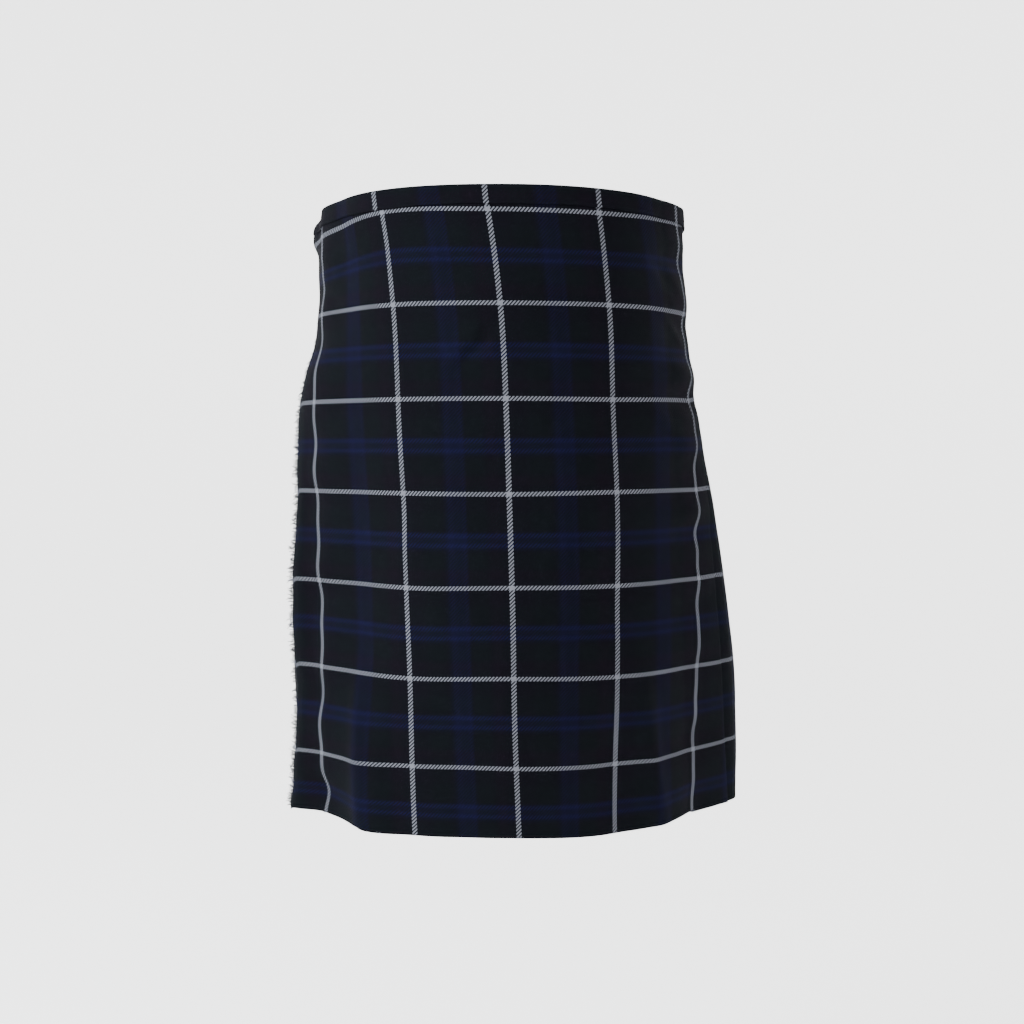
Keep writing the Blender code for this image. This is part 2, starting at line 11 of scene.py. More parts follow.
import bpy
import numpy as np
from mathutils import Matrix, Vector


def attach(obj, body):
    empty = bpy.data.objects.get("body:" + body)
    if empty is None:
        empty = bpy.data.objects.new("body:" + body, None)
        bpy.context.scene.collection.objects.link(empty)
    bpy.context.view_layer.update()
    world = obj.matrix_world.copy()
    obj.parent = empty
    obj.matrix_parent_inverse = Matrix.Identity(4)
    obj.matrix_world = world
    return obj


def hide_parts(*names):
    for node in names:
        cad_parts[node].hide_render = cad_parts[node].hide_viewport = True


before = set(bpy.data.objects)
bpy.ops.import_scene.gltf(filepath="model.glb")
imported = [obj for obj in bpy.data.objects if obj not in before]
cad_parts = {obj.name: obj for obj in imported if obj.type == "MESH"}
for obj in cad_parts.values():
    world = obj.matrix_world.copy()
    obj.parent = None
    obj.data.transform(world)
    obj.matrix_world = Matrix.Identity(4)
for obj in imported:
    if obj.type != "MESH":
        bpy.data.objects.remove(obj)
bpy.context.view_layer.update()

# --- measures of the kilt, the same as in the CAD model -----------------------------------
LENGTH = 0.610            # waist to hem
REPEAT = 0.1038           # width of one repeat of the tartan
DOWN_REPEAT = 0.0865      # its depth
FIRST_WEFT = 0.023        # the first white weft stripe, below the top edge
CLOTH = 0.0010
AIR = 0.00035
SEAM = 0.0003
BAND_DROP = 0.018
PLEATS = 22
FIRST_LENGTH = 11
EDGE_BEYOND = 0.037
LAP = 0.025
INNERMOST = 0.0018
FRONT_LEVEL = 0.0063
STRAP_WIDTH, STRAP_THICK, STRAP_TOP = 0.025, 0.0020, -0.004
BAR = 0.0010
STEP_OUT = CLOTH + 0.0005
INSIDE = CLOTH / 2
FELL = -0.235
FRONT_STATIONS = 18       # places round the front where the CAD model's aprons are cut

#  z      left   right   front    back   widest_y  square_left  square_right
RINGS = (
    (0.000, 0.163, 0.169, -0.1225, 0.128, 0.012, 2.40, 2.00),
    (-0.110, 0.174, 0.173, -0.1435, 0.139, -0.002, 1.60, 1.88),
    (-0.200, 0.193, 0.1855, -0.1385, 0.151, -0.001, 1.38, 1.54),
    (-0.235, 0.1965, 0.1925, -0.1345, 0.154, 0.005, 1.30, 1.45),
    (-0.290, 0.199, 0.205, -0.1270, 0.158, 0.018, 1.18, 1.33),
    (-0.370, 0.204, 0.2185, -0.1170, 0.164, 0.034, 1.19, 1.21),
    (-0.460, 0.211, 0.232, -0.1080, 0.171, 0.049, 1.22, 1.17),
    (-0.540, 0.204, 0.236, -0.0995, 0.178, 0.061, 1.60, 1.15),
    (-0.610, 0.188, 0.2365, -0.0920, 0.184, 0.0615, 1.67, 1.15),
)
#  z      stripe_x  crease_beyond  left_level  edge_level
APRON = (
    (0.000, -0.017, 0.018, 0.0184, 0.0232),
    (-0.018, -0.015, 0.019, 0.0182, 0.0270),
    (-0.034, -0.012, 0.020, 0.0176, 0.0235),
    (-0.110, -0.003, 0.022, 0.0128, 0.0132),
    (-0.235, 0.004, 0.026, 0.0135, 0.0166),
    (-0.290, 0.006, 0.029, 0.0155, 0.0205),
    (-0.400, 0.009, 0.035, 0.0165, 0.0262),
    (-0.510, 0.011, 0.044, 0.0165, 0.0200),
    (-0.610, 0.015, 0.052, 0.0160, 0.0400),
)
#  s_top  s_hem   start   full   half_width  height
FOLDS = (
    (-0.140, -0.150, -0.42, -0.61, 0.036, 0.016),
    (-0.192, -0.190, -0.42, -0.61, 0.030, -0.003),
    (0.140, 0.150, -0.40, -0.61, 0.036, 0.0045),
    (0.200, 0.208, -0.40, -0.61, 0.036, -0.0045),
    (0.020, 0.060, -0.45, -0.61, 0.050, -0.004),
)
#  waves_round  phase  height at the hem
SWING = ((3.2, 0.10, 0.0045), (5.3, 0.35, 0.0025))

# Soft creases, listed: from (s, z) to (s, z), half width, height.
CREASES = (
    (-0.043, -0.172, -0.006, -0.132, 0.0060, -0.0022),
    (-0.050, -0.160, -0.012, -0.122, 0.0075, 0.0020),
    (-0.236, -0.030, -0.150, -0.075, 0.0080, 0.0012),
    (-0.232, -0.060, -0.160, -0.115, 0.0090, -0.0011),
    (0.150, -0.050, 0.212, -0.105, 0.0080, -0.0012),
    (0.160, -0.100, 0.216, -0.145, 0.0075, 0.0012),
    (0.120, -0.190, 0.205, -0.235, 0.0100, 0.0016),
    (-0.110, -0.300, -0.050, -0.420, 0.0180, 0.0018),
    (0.060, -0.280, 0.110, -0.430, 0.0200, -0.0018),
    (-0.160, -0.430, -0.152, -0.640, 0.0110, 0.0034),
    (-0.120, -0.470, -0.112, -0.650, 0.0150, -0.0018),
    (0.128, -0.440, 0.150, -0.650, 0.0120, 0.0040),
    (0.092, -0.480, 0.104, -0.650, 0.0140, -0.0020),
    (-0.010, -0.500, 0.004, -0.660, 0.0200, 0.0012),
    (-0.060, -0.520, -0.052, -0.660, 0.0160, -0.0012),
    (-0.222, -0.330, -0.212, -0.560, 0.0090, -0.0012),
    (0.330, -0.240, 0.352, -0.380, 0.0080, 0.0014),
    (0.470, -0.236, 0.490, -0.360, 0.0080, -0.0014),
    (-0.330, -0.240, -0.345, -0.370, 0.0080, 0.0014),
    (-0.450, -0.240, -0.470, -0.350, 0.0080, 0.0012),
)


def through(rows, column, z):
    """Height of a smooth curve through a table's column, for a whole array of z."""
    x = -np.array([row[0] for row in rows])
    y = np.array([row[column] for row in rows])
    return hermite(x, y, -np.asarray(z, float))


def hermite(x, y, at):
    """Cubic Hermite curve through points (x, y), whose slopes are central differences."""
    slope = np.gradient(y, x)
    at = np.clip(at, x[0], x[-1])
    i = np.clip(np.searchsorted(x, at, side="right") - 1, 0, len(x) - 2)
    h = x[i + 1] - x[i]
    t = (at - x[i]) / h
    return ((1 + 2 * t) * (1 - t) ** 2 * y[i] + t * (1 - t) ** 2 * h * slope[i]
            + t * t * (3 - 2 * t) * y[i + 1] + t * t * (t - 1) * h * slope[i + 1])


def smooth(a, b, x):
    t = np.clip((np.asarray(x, float) - a) / (b - a), 0.0, 1.0)
    return t * t * (3 - 2 * t)


# --- the body space -----------------------------------------------------------------------
STEP = 0.0025
HEIGHTS = -np.arange(0.0, 0.6401, STEP)
EVEN = 1440               # steps round a finished ring
FINE = 2880               # steps round a ring before its outline is softened
SOFTEN = 28               # of those steps, each way
SHARES = np.concatenate(([0.0], np.cumsum(1 + 0.05 * np.sin(2.4 * np.arange(PLEATS) + 0.7))))
SHARES /= SHARES[-1]


def soften(outline, reach):
    """Closed outlines, one a row, averaged twice over a window of reach neighbours each way."""
    for _ in range(2):
        wide = np.concatenate((outline[:, -reach - 1:], outline, outline[:, :reach]), axis=1)
        total = np.cumsum(wide, axis=1)
        outline = (total[:, 2 * reach + 1:] - total[:, :-2 * reach - 1]) / (2 * reach + 1)
    return np.concatenate((outline, outline[:, :1]), axis=1)


def body_rings():
    """Even points and outward directions round the ring at every height, its length and start.

    A ring is a half superellipse in front and a half ellipse behind, with a softened outline.
    """
    left, right, front, back, mid, sq_l, sq_r = (through(RINGS, k, HEIGHTS)[:, None]
                                                 for k in range(1, 8))
    t = np.linspace(-0.5 * np.pi, 1.5 * np.pi, FINE + 1)[None, :]
    c, s = np.cos(t), np.sin(t)
    square = np.where(s > 0, 2.0, np.where(c > 0, sq_r, sq_l))
    x = np.where(c > 0, right, left) * np.sign(c) * np.abs(c) ** (2 / np.maximum(square, 2.0))
    y = mid + np.where(s > 0, back - mid, mid - front) * np.sign(s) * np.abs(s) ** (2 / square)

    def evenly(x, y, count):
        run = np.zeros_like(x)
        run[:, 1:] = np.cumsum(np.hypot(np.diff(x), np.diff(y)), axis=1)
        at = np.linspace(0, 1, count + 1)[None, :] * run[:, -1:]
        both = [np.stack([np.interp(a, b, c) for a, b, c in zip(at, run, k)]) for k in (x, y)]
        return both[0], both[1], run[:, -1]

    x, y, _ = evenly(x, y, FINE)
    x, y, run = evenly(soften(x[:, :-1], SOFTEN), soften(y[:, :-1], SOFTEN), EVEN)
    stripe = through(APRON, 1, HEIGHTS)
    table = np.zeros((len(HEIGHTS), EVEN + 1, 4))
    table[..., 0], table[..., 1] = x, y
    start = np.zeros(len(HEIGHTS))
    near = np.arange(-130, 130)
    for row in range(len(HEIGHTS)):
        start[row] = np.interp(stripe[row], x[row, near % EVEN], near * run[row] / EVEN)
    turn = table[:, :-1, :2]
    ahead = np.roll(turn, -5, axis=1) - np.roll(turn, 5, axis=1)
    ahead /= np.linalg.norm(ahead, axis=2)[..., None]
    table[:, :-1, 2] = ahead[..., 1]
    table[:, :-1, 3] = -ahead[..., 0]
    table[:, -1, 2:] = table[:, 0, 2:]
    return table, run, start


RING_TABLE, AROUND, START = body_rings()


def around(z):
    return np.interp(-np.asarray(z, float), -HEIGHTS, AROUND)


def crease_s(z):
    return 2 * REPEAT + through(APRON, 2, z)


EDGE = -2 * REPEAT - EDGE_BEYOND


def last_s(z):
    return around(z) + EDGE + LAP


def relief(s, z):
    """Soft ridges, troughs, creases and the swing of the pleats, for arrays of s and z."""
    length = around(z)
    front_s = (s + length / 2) % length - length / 2
    out = np.zeros(np.broadcast(s, z).shape)
    for s_top, s_hem, start, full, half, height in FOLDS:
        centre = s_top + (s_hem - s_top) * (-z / LENGTH)
        out = out + height * smooth(-start, -full, -z) * np.exp(-((front_s - centre) / half) ** 2)
    for s0, z0, s1, z1, half, height in CREASES:
        size = math.hypot(s1 - s0, z1 - z0)
        ds, dz = (s1 - s0) / size, (z1 - z0) / size
        along = ((front_s - s0) * ds + (z - z0) * dz) / size
        across = (front_s - s0) * dz - (z - z0) * ds
        fade = smooth(-0.05, 0.35, along) * smooth(1.05, 0.65, along)
        out = out + height * fade * np.exp(-(across / half) ** 2)
    # the outermost stripes waver where the cloth turns round the hips
    near_left = np.exp(-((front_s - 0.203) / 0.030) ** 2)
    fade = smooth(0.020, 0.070, -z) * (1 - 0.65 * smooth(0.24, 0.46, -z))
    beat = 2 * np.pi * (-z - 0.119) / 0.068 - 2.24
    out = out + near_left * fade * (0.0026 * (np.sin(beat) - 0.4 * np.sin(2 * beat))
                                    + 0.0008 * np.sin(-z / 0.0068 + 2.0))
    near_right = np.exp(-((front_s + 0.214) / 0.026) ** 2)
    fade = smooth(0.030, 0.070, -z)
    out = out + near_right * fade * (0.0011 * np.sin(-z / 0.0138 + 1.2)
                                     + (0.0009 + 0.0022 * smooth(0.52, 0.60, -z))
                                     * np.sin(-z / 0.0079))
    # the cloth is never quite flat
    out = out + smooth(0.03, 0.12, -z) * (
        0.0006 * np.sin(front_s / 0.021 + 1.3 * np.sin(-z / 0.06))
        + 0.0005 * np.sin(-z / 0.027 + front_s / 0.043 + 0.8))
    # pleats swing, and each one is a little full between its creases
    part = (s % length - crease_s(z)) / (last_s(z) - crease_s(z))
    inside = (part > 0) & (part < 1)
    part = np.clip(part, 0, 1)
    hang = smooth(-FELL, LENGTH, -z) * np.sin(np.pi * part) ** 0.5
    swing = 0
    for waves, phase, height in SWING:
        swing = swing + height * np.sin(2 * np.pi * (waves * part + phase))
    q = np.interp(part, SHARES, np.arange(PLEATS + 1))
    swing = swing + 0.0011 * np.sin(2.3 * q + 4.5 * -z + 0.4) + 0.0008 * np.sin(4.1 * q + 1.9)
    fullness = 0.0018 * np.sin(np.pi * q) ** 2 * smooth(0.21, 0.30, -z)
    return out + np.where(inside, hang * swing + fullness, 0.0)


def place(s, z, level, soft=True):
    """Points at distance s round, height z and level out, read from the table of rings.

    Between the table's rows and columns a point is a weighted mean of its four neighbours.
    """
    s, z, level = (np.asarray(a, float) for a in np.broadcast_arrays(s, z, level))
    q = np.clip(-z / STEP, 0, len(HEIGHTS) - 1.001)
    i = q.astype(int)
    down = (q - i)[..., None]
    found = 0
    for row, share in ((i, 1 - down), (i + 1, down)):
        run = ((START[row] + s) / AROUND[row]) % 1 * EVEN
        k = np.minimum(run.astype(int), EVEN - 1)
        f = (run - k)[..., None]
        found = found + share * (RING_TABLE[row, k] * (1 - f) + RING_TABLE[row, k + 1] * f)
    out = level + (relief(s, z) if soft else 0.0)
    return np.stack((found[..., 0] + found[..., 2] * out, found[..., 1] + found[..., 3] * out, z), -1)


# --- where the layers lie -----------------------------------------------------------------
class Rows:
    """The lines on the body space that every layer shares, for one array of heights."""

    def __init__(self, z):
        self.z = z = np.asarray(z, float)
        crease, last = crease_s(z), last_s(z)
        self.around = around(z)
        j = np.arange(PLEATS + 1)[None, :]
        waver = 0.0016 * np.sin(1.7 * j + 7.0 * -z[:, None]) + 0.0010 * np.sin(3.9 * j + 1.0)
        waver = waver * smooth(-FELL, 0.45, -z)[:, None] * ((j > 0) & (j < PLEATS))
        lines = crease[:, None] + (last - crease)[:, None] * SHARES[None, :] + waver
        width = (last - crease) / PLEATS
        before = crease[:, None] - width[:, None] * np.array([[2.0, 1.0]])
        self.lines = np.concatenate((before, lines), axis=1)
        widths = np.diff(lines, axis=1)
        self.slope = 2 * (CLOTH + AIR) / widths.min(axis=1)
        self.base = INNERMOST + self.slope * 2.06 * widths.max(axis=1)
        self.top = self.base + self.slope * widths.max(axis=1)
        self.last = last

    def line(self, i):
        """Distance round of crease i, a column of one number a row; 0 is the apron's crease."""
        return self.lines[:, i + 2][:, None]

    def over(self, s):
        """Level of the over apron."""
        base, slope = self.base[:, None], self.slope[:, None]
        joint = base + slope * (self.line(-2) - self.line(-1))
        level = FRONT_LEVEL + (joint - FRONT_LEVEL) * smooth(self.line(-2) - 0.04, self.line(-2), s)
        left, edge = (through(APRON, k, self.z)[:, None] for k in (3, 4))
        level = level + (left - FRONT_LEVEL) * smooth(0.150, 0.208, -s)
        level = level + (edge - left) * smooth(0.2076, -EDGE, -s)
        # the band's free end stands off at its lower corner
        flare = 0.007 * smooth(0.0, 0.010, -self.z) * smooth(0.032, 0.012, -self.z)
        level = level + flare[:, None] * smooth(0.222, -EDGE, -s)
        return np.where(s >= self.line(-2), base + slope * (s - self.line(-1)), level)

    def under(self, s):
        """Level of the under apron once it has left the last pleat."""
        start = (self.last - self.around)[:, None]
        base = self.base[:, None]
        return base + (INNERMOST - base) * smooth(start, start + 0.062, s)


# Where each white warp stripe runs: distance from an even spacing, in mm, at each height.
LAY_HEIGHTS = (0.0, 0.023, 0.1095, 0.196, 0.2825, 0.369, 0.4555, 0.542, 0.610)
LAY_ACROSS = (
    (4.0, 9.0, 0.5, -1.5, -2.0, -1.0, 1.0, -2.0, -0.5),
    (6.5, 4.5, 4.0, 4.0, 4.0, 3.5, 5.0, 5.5, 5.0),
    (0.5, 0.0, 0.5, 0.0, -0.5, -0.5, -0.5, -0.5, -0.5),
    (-0.5, -2.0, -3.5, -3.5, -2.0, -1.0, -4.0, -5.0, -8.0),
    (1.0, 3.5, 10.0, 10.5, 6.5, 3.5, 1.5, -2.0, -6.0),
)
# How far each weft stripe sags below its even place, in mm, at each of those warp stripes.
LAY_DOWN = (
    (0.0, 6.5, -2.0, -2.5, -2.5, -0.5, 0.0, 2.5, -3.0),
    (0.0, -2.0, -1.5, -1.5, -1.5, 1.0, 1.5, 0.0, 0.5),
    (0.0, 0.5, 0.5, -1.0, -1.0, -1.0, -2.0, -2.5, -2.0),
    (0.0, 0.5, -0.5, -1.5, -2.5, 0.0, 0.5, 0.0, 1.0),
    (0.0, -4.0, -3.0, -5.0, -3.5, -1.5, 1.0, 1.0, -2.5),
)


def lay(table, u, v):
    """Smooth value at cloth point (u, v) of a table of five warp stripes by nine heights."""
    columns = [hermite(np.array(LAY_HEIGHTS), np.array(row, float), v) for row in table]
    columns = np.stack([columns[0]] + columns + [columns[-1]])
    at = np.array([-3.0, -2.0, -1.0, 0.0, 1.0, 2.0, 3.0]) * REPEAT
    slope = np.gradient(columns, at, axis=0)
    q = np.clip(u, at[0], at[-1])
    i = np.clip(((q - at[0]) / REPEAT).astype(int), 0, 5)
    t = (q - at[i]) / REPEAT
    pick = lambda a, k: np.take_along_axis(a, k[None], axis=0)[0]
    v0, v1, s0, s1 = pick(columns, i), pick(columns, i + 1), pick(slope, i), pick(slope, i + 1)
    value = ((1 + 2 * t) * (1 - t) ** 2 * v0 + t * (1 - t) ** 2 * REPEAT * s0
             + t * t * (3 - 2 * t) * v1 + t * t * (t - 1) * REPEAT * s1)
    return value * 0.001


# --- meshes -------------------------------------------------------------------------------
def piece(name, points, faces, uv, finish, sharp=50, body="root"):
    """A mesh object from arrays of points, faces and UV in metres, turned to face outwards."""
    points = np.asarray(points, float).reshape(-1, 3)
    faces = np.asarray(faces)
    tri = np.concatenate((faces[:, :3], faces[:, [0, 2, 3]])) if faces.shape[1] == 4 else faces
    a, b, c = (points[tri[:, k]] for k in range(3))
    if np.einsum("ij,ij->i", a, np.cross(b, c)).sum() < 0:
        faces = faces[:, ::-1]
    mesh = bpy.data.meshes.new(name)
    mesh.vertices.add(len(points))
    mesh.vertices.foreach_set("co", points.astype(np.float32).ravel())
    corners = faces.shape[1]
    mesh.loops.add(faces.size)
    mesh.loops.foreach_set("vertex_index", faces.astype(np.int32).ravel())
    mesh.polygons.add(len(faces))
    mesh.polygons.foreach_set("loop_start", np.arange(0, faces.size, corners, dtype=np.int32))
    mesh.update(calc_edges=True)
    layer = mesh.uv_layers.new(name="UVMap")
    flat = np.asarray(uv, float).reshape(-1, 2)[faces.ravel()]
    layer.data.foreach_set("uv", flat.astype(np.float32).ravel())
    mesh.validate()
    mesh.shade_smooth()
    mesh.set_sharp_from_angle(angle=math.radians(sharp))
    obj = bpy.data.objects.new(name, mesh)
    bpy.context.scene.collection.objects.link(obj)
    mesh.materials.append(finish)
    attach(obj, body)
    return obj


def loop_faces(rows, n, caps=True, closed=False):
    """Quads of a skin over rows of closed loops of n points, with both ends closed."""
    at = np.arange(rows * n).reshape(rows, n)
    a, b = (at, np.roll(at, -1, 0)) if closed else (at[:-1], at[1:])
    quads = [np.stack((a, np.roll(a, -1, 1), np.roll(b, -1, 1), b), -1).reshape(-1, 4)]
    if caps and not closed:
        k = np.arange(n // 2 - 1)
        for row, flip in ((at[0], True), (at[-1], False)):
            cap = np.stack((row[k], row[k + 1], row[n - 2 - k], row[n - 1 - k]), -1)
            quads.append(cap[:, ::-1] if flip else cap)
    return np.concatenate(quads)


def wall(name, s, z, level, uv, finish):
    """A wall of cloth: the path (s, level) of every row, thickened by half the cloth each way.

    The two sides lie along the path's own normal in the plane of s and level.
    """
    ds, dl = np.gradient(s, axis=1), np.gradient(level, axis=1)
    size = np.hypot(ds, dl) + 1e-9
    ds, dl = ds / size * CLOTH / 2, dl / size * CLOTH / 2
    base = relief(s, z)
    outer = place_on(s - dl, z, level + ds, base)
    inner = place_on(s + dl, z, level - ds, base)
    points = np.concatenate((outer, inner[:, ::-1]), axis=1)
    both = np.concatenate((uv, uv[:, ::-1]), axis=1)
    return piece(name, points, loop_faces(*points.shape[:2]), both, finish)


def place_on(s, z, level, base):
    return place(s, z, level + base, soft=False)


def cloth_rows(step=0.0032, first=0.0016):
    """Distances down the cloth of a piece's rows, closer at the hem."""
    v = np.arange(first, LENGTH - 0.0006, step)
    return np.concatenate((v, [LENGTH - 0.0004, LENGTH]))


def hem_dip(s, v):
    """How much lower than straight the hem hangs: slow waves of a millimetre or two."""
    return (0.0013 * np.sin(s / 0.071 + 0.5) + 0.0007 * np.sin(s / 0.029)) * smooth(0.35, LENGTH, v)


# --- over apron ---------------------------------------------------------------------------
def apron_to_body(u, v, rows):
    """Distance round and height of cloth point (u, v) of the over apron.

    Between the outermost stripes it is the even spacing plus the lay; beyond them it runs on
    to the free edge, which curls down a little, and on the other side to the crease.
    """
    across = lay(LAY_ACROSS, u, v)
    down = lay(LAY_DOWN, u, v)
    s = u + across * smooth(EDGE - 0.001, -2 * REPEAT, u)
    beyond = (u - 2 * REPEAT) / (rows.line(0) - 2 * REPEAT)
    left = lay(LAY_ACROSS, np.full_like(u, 2 * REPEAT), v)
    s = np.where(u > 2 * REPEAT, u + left * np.clip(1 - beyond, 0, 1), s)
    down = down * np.where(beyond > 0, 1 + (hang_up(v) - 1) * np.clip(beyond, 0, 1), 1)
    return s, -v - down - 0.0035 * smooth(EDGE + 0.010, EDGE, u)


def hang_up(v):
    """How far the cloth at the crease follows the sag of the last stripe; none at the hem."""
    return 1.35 * (1 - smooth(0.42, 0.60, v))


def make_over_apron(finish):
    v = cloth_rows(0.0031)
    rows = Rows(-v)
    flat = np.linspace(EDGE, 2 * REPEAT, 196)[None, :] + 0 * v[:, None]
    crease = rows.line(0)
    gap = (CLOTH + AIR) / 2
    t = np.linspace(0, 1, 17)[None, 1:]
    to_crease = 2 * REPEAT + (crease - gap - 2 * REPEAT) * t
    u = np.concatenate((flat, to_crease), axis=1)
    vv = v[:, None] + 0 * u
    s, z = apron_to_body(u, vv, rows)
    level = rows.over(s)
    # round the crease and back beneath it
    turn = np.linspace(0, np.pi, 7)[None, 1:-1]
    middle = rows.over(crease - gap) - gap
    s_turn = crease - gap + gap * np.sin(turn)
    l_turn = middle + gap * np.cos(turn)
    u_turn = crease - gap + gap * turn
    back_s = crease - gap + (rows.line(-2) + 0.0006 - crease + gap) * np.linspace(0, 1, 10)[None, :]
    back_l = rows.over(back_s) - 2 * gap
    back_u = 2 * crease - back_s
    s_all = np.concatenate((s, s_turn, back_s), axis=1)
    l_all = np.concatenate((level, l_turn, back_l), axis=1)
    u_all = np.concatenate((u, u_turn, back_u), axis=1)
    folded = np.broadcast_to(z[:, -1:], (len(v), s_turn.shape[1] + back_s.shape[1]))
    z_all = np.concatenate((z, folded), axis=1)
    z_all = z_all - hem_dip(s_all, v[:, None])
    uv = np.stack((u_all, v[:, None] + 0 * u_all), -1)
    return wall("over_apron_cloth", s_all, z_all, l_all, uv, finish)


# --- pleats -------------------------------------------------------------------------------
FACE_STEPS = np.array([0.0, 0.5, 1.0, 1.4, 1.8, 2.0, 2.12, 2.26, 2.4, 2.54, 2.68, 2.8, 2.9, 2.96])
BACK_STEPS = np.array([0.04, 0.3, 0.7, 1.1, 1.5, 1.96])
QUARTER = REPEAT / 4
FIRST_CREASE_U = 0.0505   # place in the repeat where the first pleat's crease falls
FIRST_LINE = 2            # lines before the crease line in Rows.lines


def make_pleats(name, first, last, finish):
    """Knife pleats: each face climbs over three widths to its crease, turns and goes back two.

    Every turn is a half circle whose diameter is the gap between the layers it joins.
    """
    v = cloth_rows(0.0046)
    rows = Rows(-v)
    slope, base = rows.slope[:, None], rows.base[:, None]
    paths = {"s": [], "l": [], "u": []}

    def add(s, level, u):
        paths["s"].append(s)
        paths["l"].append(level)
        paths["u"].append(u + 0 * s)

    for j in range(first, last + 1):
        knots = np.stack([rows.lines[:, j - 3 + FIRST_LINE + k] for k in range(4)], axis=1)
        width = rows.line(j) - rows.line(j - 1)
        gap = slope * width / 2
        i = np.minimum(FACE_STEPS.astype(int), 2)
        face = knots[:, i] + (knots[:, i + 1] - knots[:, i]) * (FACE_STEPS - i)[None, :]
        if j == first:
            face[:, :1] = knots[:, :1]
        own = FIRST_CREASE_U + (j - 1) * 5 * QUARTER
        shown = own - (rows.line(j) - face)
        hidden = own - 3 * QUARTER + (3 * QUARTER - width) * FACE_STEPS[None, :] / 2
        add(face, base + slope * (face - rows.line(j - 1)), np.where(FACE_STEPS >= 2, shown, hidden))
        turn = np.linspace(0, np.pi, 7)[None, 1:-1]
        crease = rows.line(j)
        level = base + slope * (crease - gap / 2 - rows.line(j - 1)) - gap / 2
        add(crease - gap / 2 + gap / 2 * np.sin(turn), level + gap / 2 * np.cos(turn),
            own + gap / 2 * turn)
        i = np.minimum(BACK_STEPS.astype(int), 1)
        ends = [rows.line(j), rows.line(j - 1), rows.line(j - 2)]
        back = np.concatenate([ends[a] + (ends[a + 1] - ends[a]) * (b - a)
                               for a, b in zip(i, BACK_STEPS)], axis=1)
        add(back, base + slope * (back - rows.line(j - 1)) - gap, own + BACK_STEPS * QUARTER)
        if j < last:
            inner = rows.line(j - 2)
            level = base + slope * (inner - rows.line(j - 1)) - 1.5 * gap
            add(inner + gap / 2 - gap / 2 * np.sin(turn), level + gap / 2 * np.cos(turn),
                own + 2 * QUARTER + gap / 2 * turn)
    s, level, u = (np.concatenate(paths[k], axis=1) for k in "slu")
    z = -v[:, None] - hem_dip(s, v[:, None])
    # the first pleats hang with the apron's crease
    vv = v[:, None] + 0 * u
    sag = lay(LAY_DOWN, np.full_like(u, 2 * REPEAT), vv) * hang_up(vv)
    uv = np.stack((u, vv - sag * (1 - smooth(0.0, 0.12, s - rows.line(0)))), -1)
    return wall(name, s, z, level, uv, finish)


def make_under_apron(finish):
    v = cloth_rows(0.0042)
    rows = Rows(-v)
    n = PLEATS + 1
    start = np.linspace(0, 1, 8)[None, :-1]
    s0, s1 = rows.line(n - 3), rows.last[:, None]
    hidden = s0 + (s1 - s0) * start
    hidden_level = rows.base[:, None] + rows.slope[:, None] * (hidden - rows.line(n - 1))
    first, last = (rows.last - rows.around)[:, None], rows.line(-2)
    step = (last - first) / (FRONT_STATIONS - 1)
    front = first + (last - step - first) * np.linspace(0, 1, 150)[None, :]
    s = np.concatenate((hidden, front + rows.around[:, None]), axis=1)
    level = np.concatenate((hidden_level, rows.under(front)), axis=1)
    z = -v[:, None] - hem_dip(s, v[:, None])
    u = s - rows.around[:, None] + 0.30 * REPEAT
    uv = np.stack((u, v[:, None] + 0 * u), -1)
    return wall("under_apron_cloth", s, z, level, uv, finish)


# --- waistband ----------------------------------------------------------------------------
def make_band(name, s_of, outer_of, inner_of, count, finish, jog=None):
    """A binding folded over the top edge, as closed sections along the band.

    A section runs up the outer leaf from its turned edge, over the rounded top and down the
    inner leaf, then back up on the cloth side.  Levels are taken at the band's own depth.
    """
    half = CLOTH / 2
    p = np.linspace(0, 1, count)
    #       depth    leaf  offset     (leaf 1 is outer, 0 is inner)
    section = [
        (0.0184, 1, -half), (0.0187, 1, 0.0), (0.0182, 1, half * 1.3), (0.0170, 1, half * 1.5),
        (0.0155, 1, half * 0.9), (0.0120, 1, half), (0.0080, 1, half * 1.2), (0.0040, 1, half),
        (0.0015, 1, half), (0.0004, 1, half * 0.4), (0.0000, 1, -half * 1.0), (0.0, 0.5, 0.0),
        (0.0, 0, half * 1.0), (0.0004, 0, -half * 0.4), (0.0015, 0, -half), (0.0060, 0, -half),
        (0.0120, 0, -half), (0.0175, 0, -half * 1.2), (0.0180, 0, 0.0),
        (0.0174, 0, half), (0.0090, 0, half), (0.0016, 0, half), (0.0011, 0, half * 1.4),
        (0.0011, 0.5, 0.0), (0.0011, 1, -half * 1.4), (0.0016, 1, -half), (0.0090, 1, -half),
        (0.0174, 1, -half),
    ]
    depth = np.array([q[0] for q in section])
    rows = Rows(-depth)
    n = len(section)
    s = np.stack([s_of(rows, a)[:, 0] for a in p])                 # count x section
    outer = np.stack([outer_of(rows, s[k][:, None])[:, 0] for k in range(count)])
    inner = np.stack([inner_of(rows, s[k][:, None])[:, 0] for k in range(count)])
    leaf = np.array([q[1] for q in section])[None, :]
    off = np.array([q[2] for q in section])[None, :]
    level = inner + (outer - inner) * leaf + off
    wave = 0.00035 * np.sin(s / 0.019) + 0.00025 * np.sin(s / 0.0071 + 1.0)
    z = -depth[None, :] - wave * (depth[None, :] > 0.010)
    points = place(s, z, level, soft=False)
    u = s + (jog(s) if jog else 0.0)
    # the cloth runs on over the top, so v grows negative there and down the inner leaf
    over_top = (outer - inner)[:, depth.argmin()][:, None]
    v = depth[None, :] * np.where(leaf > 0.5, 1, -1) - over_top * (1 - leaf)
    uv = np.stack((u, v), -1)
    return piece(name, points, loop_faces(count, n), uv, finish, sharp=70)


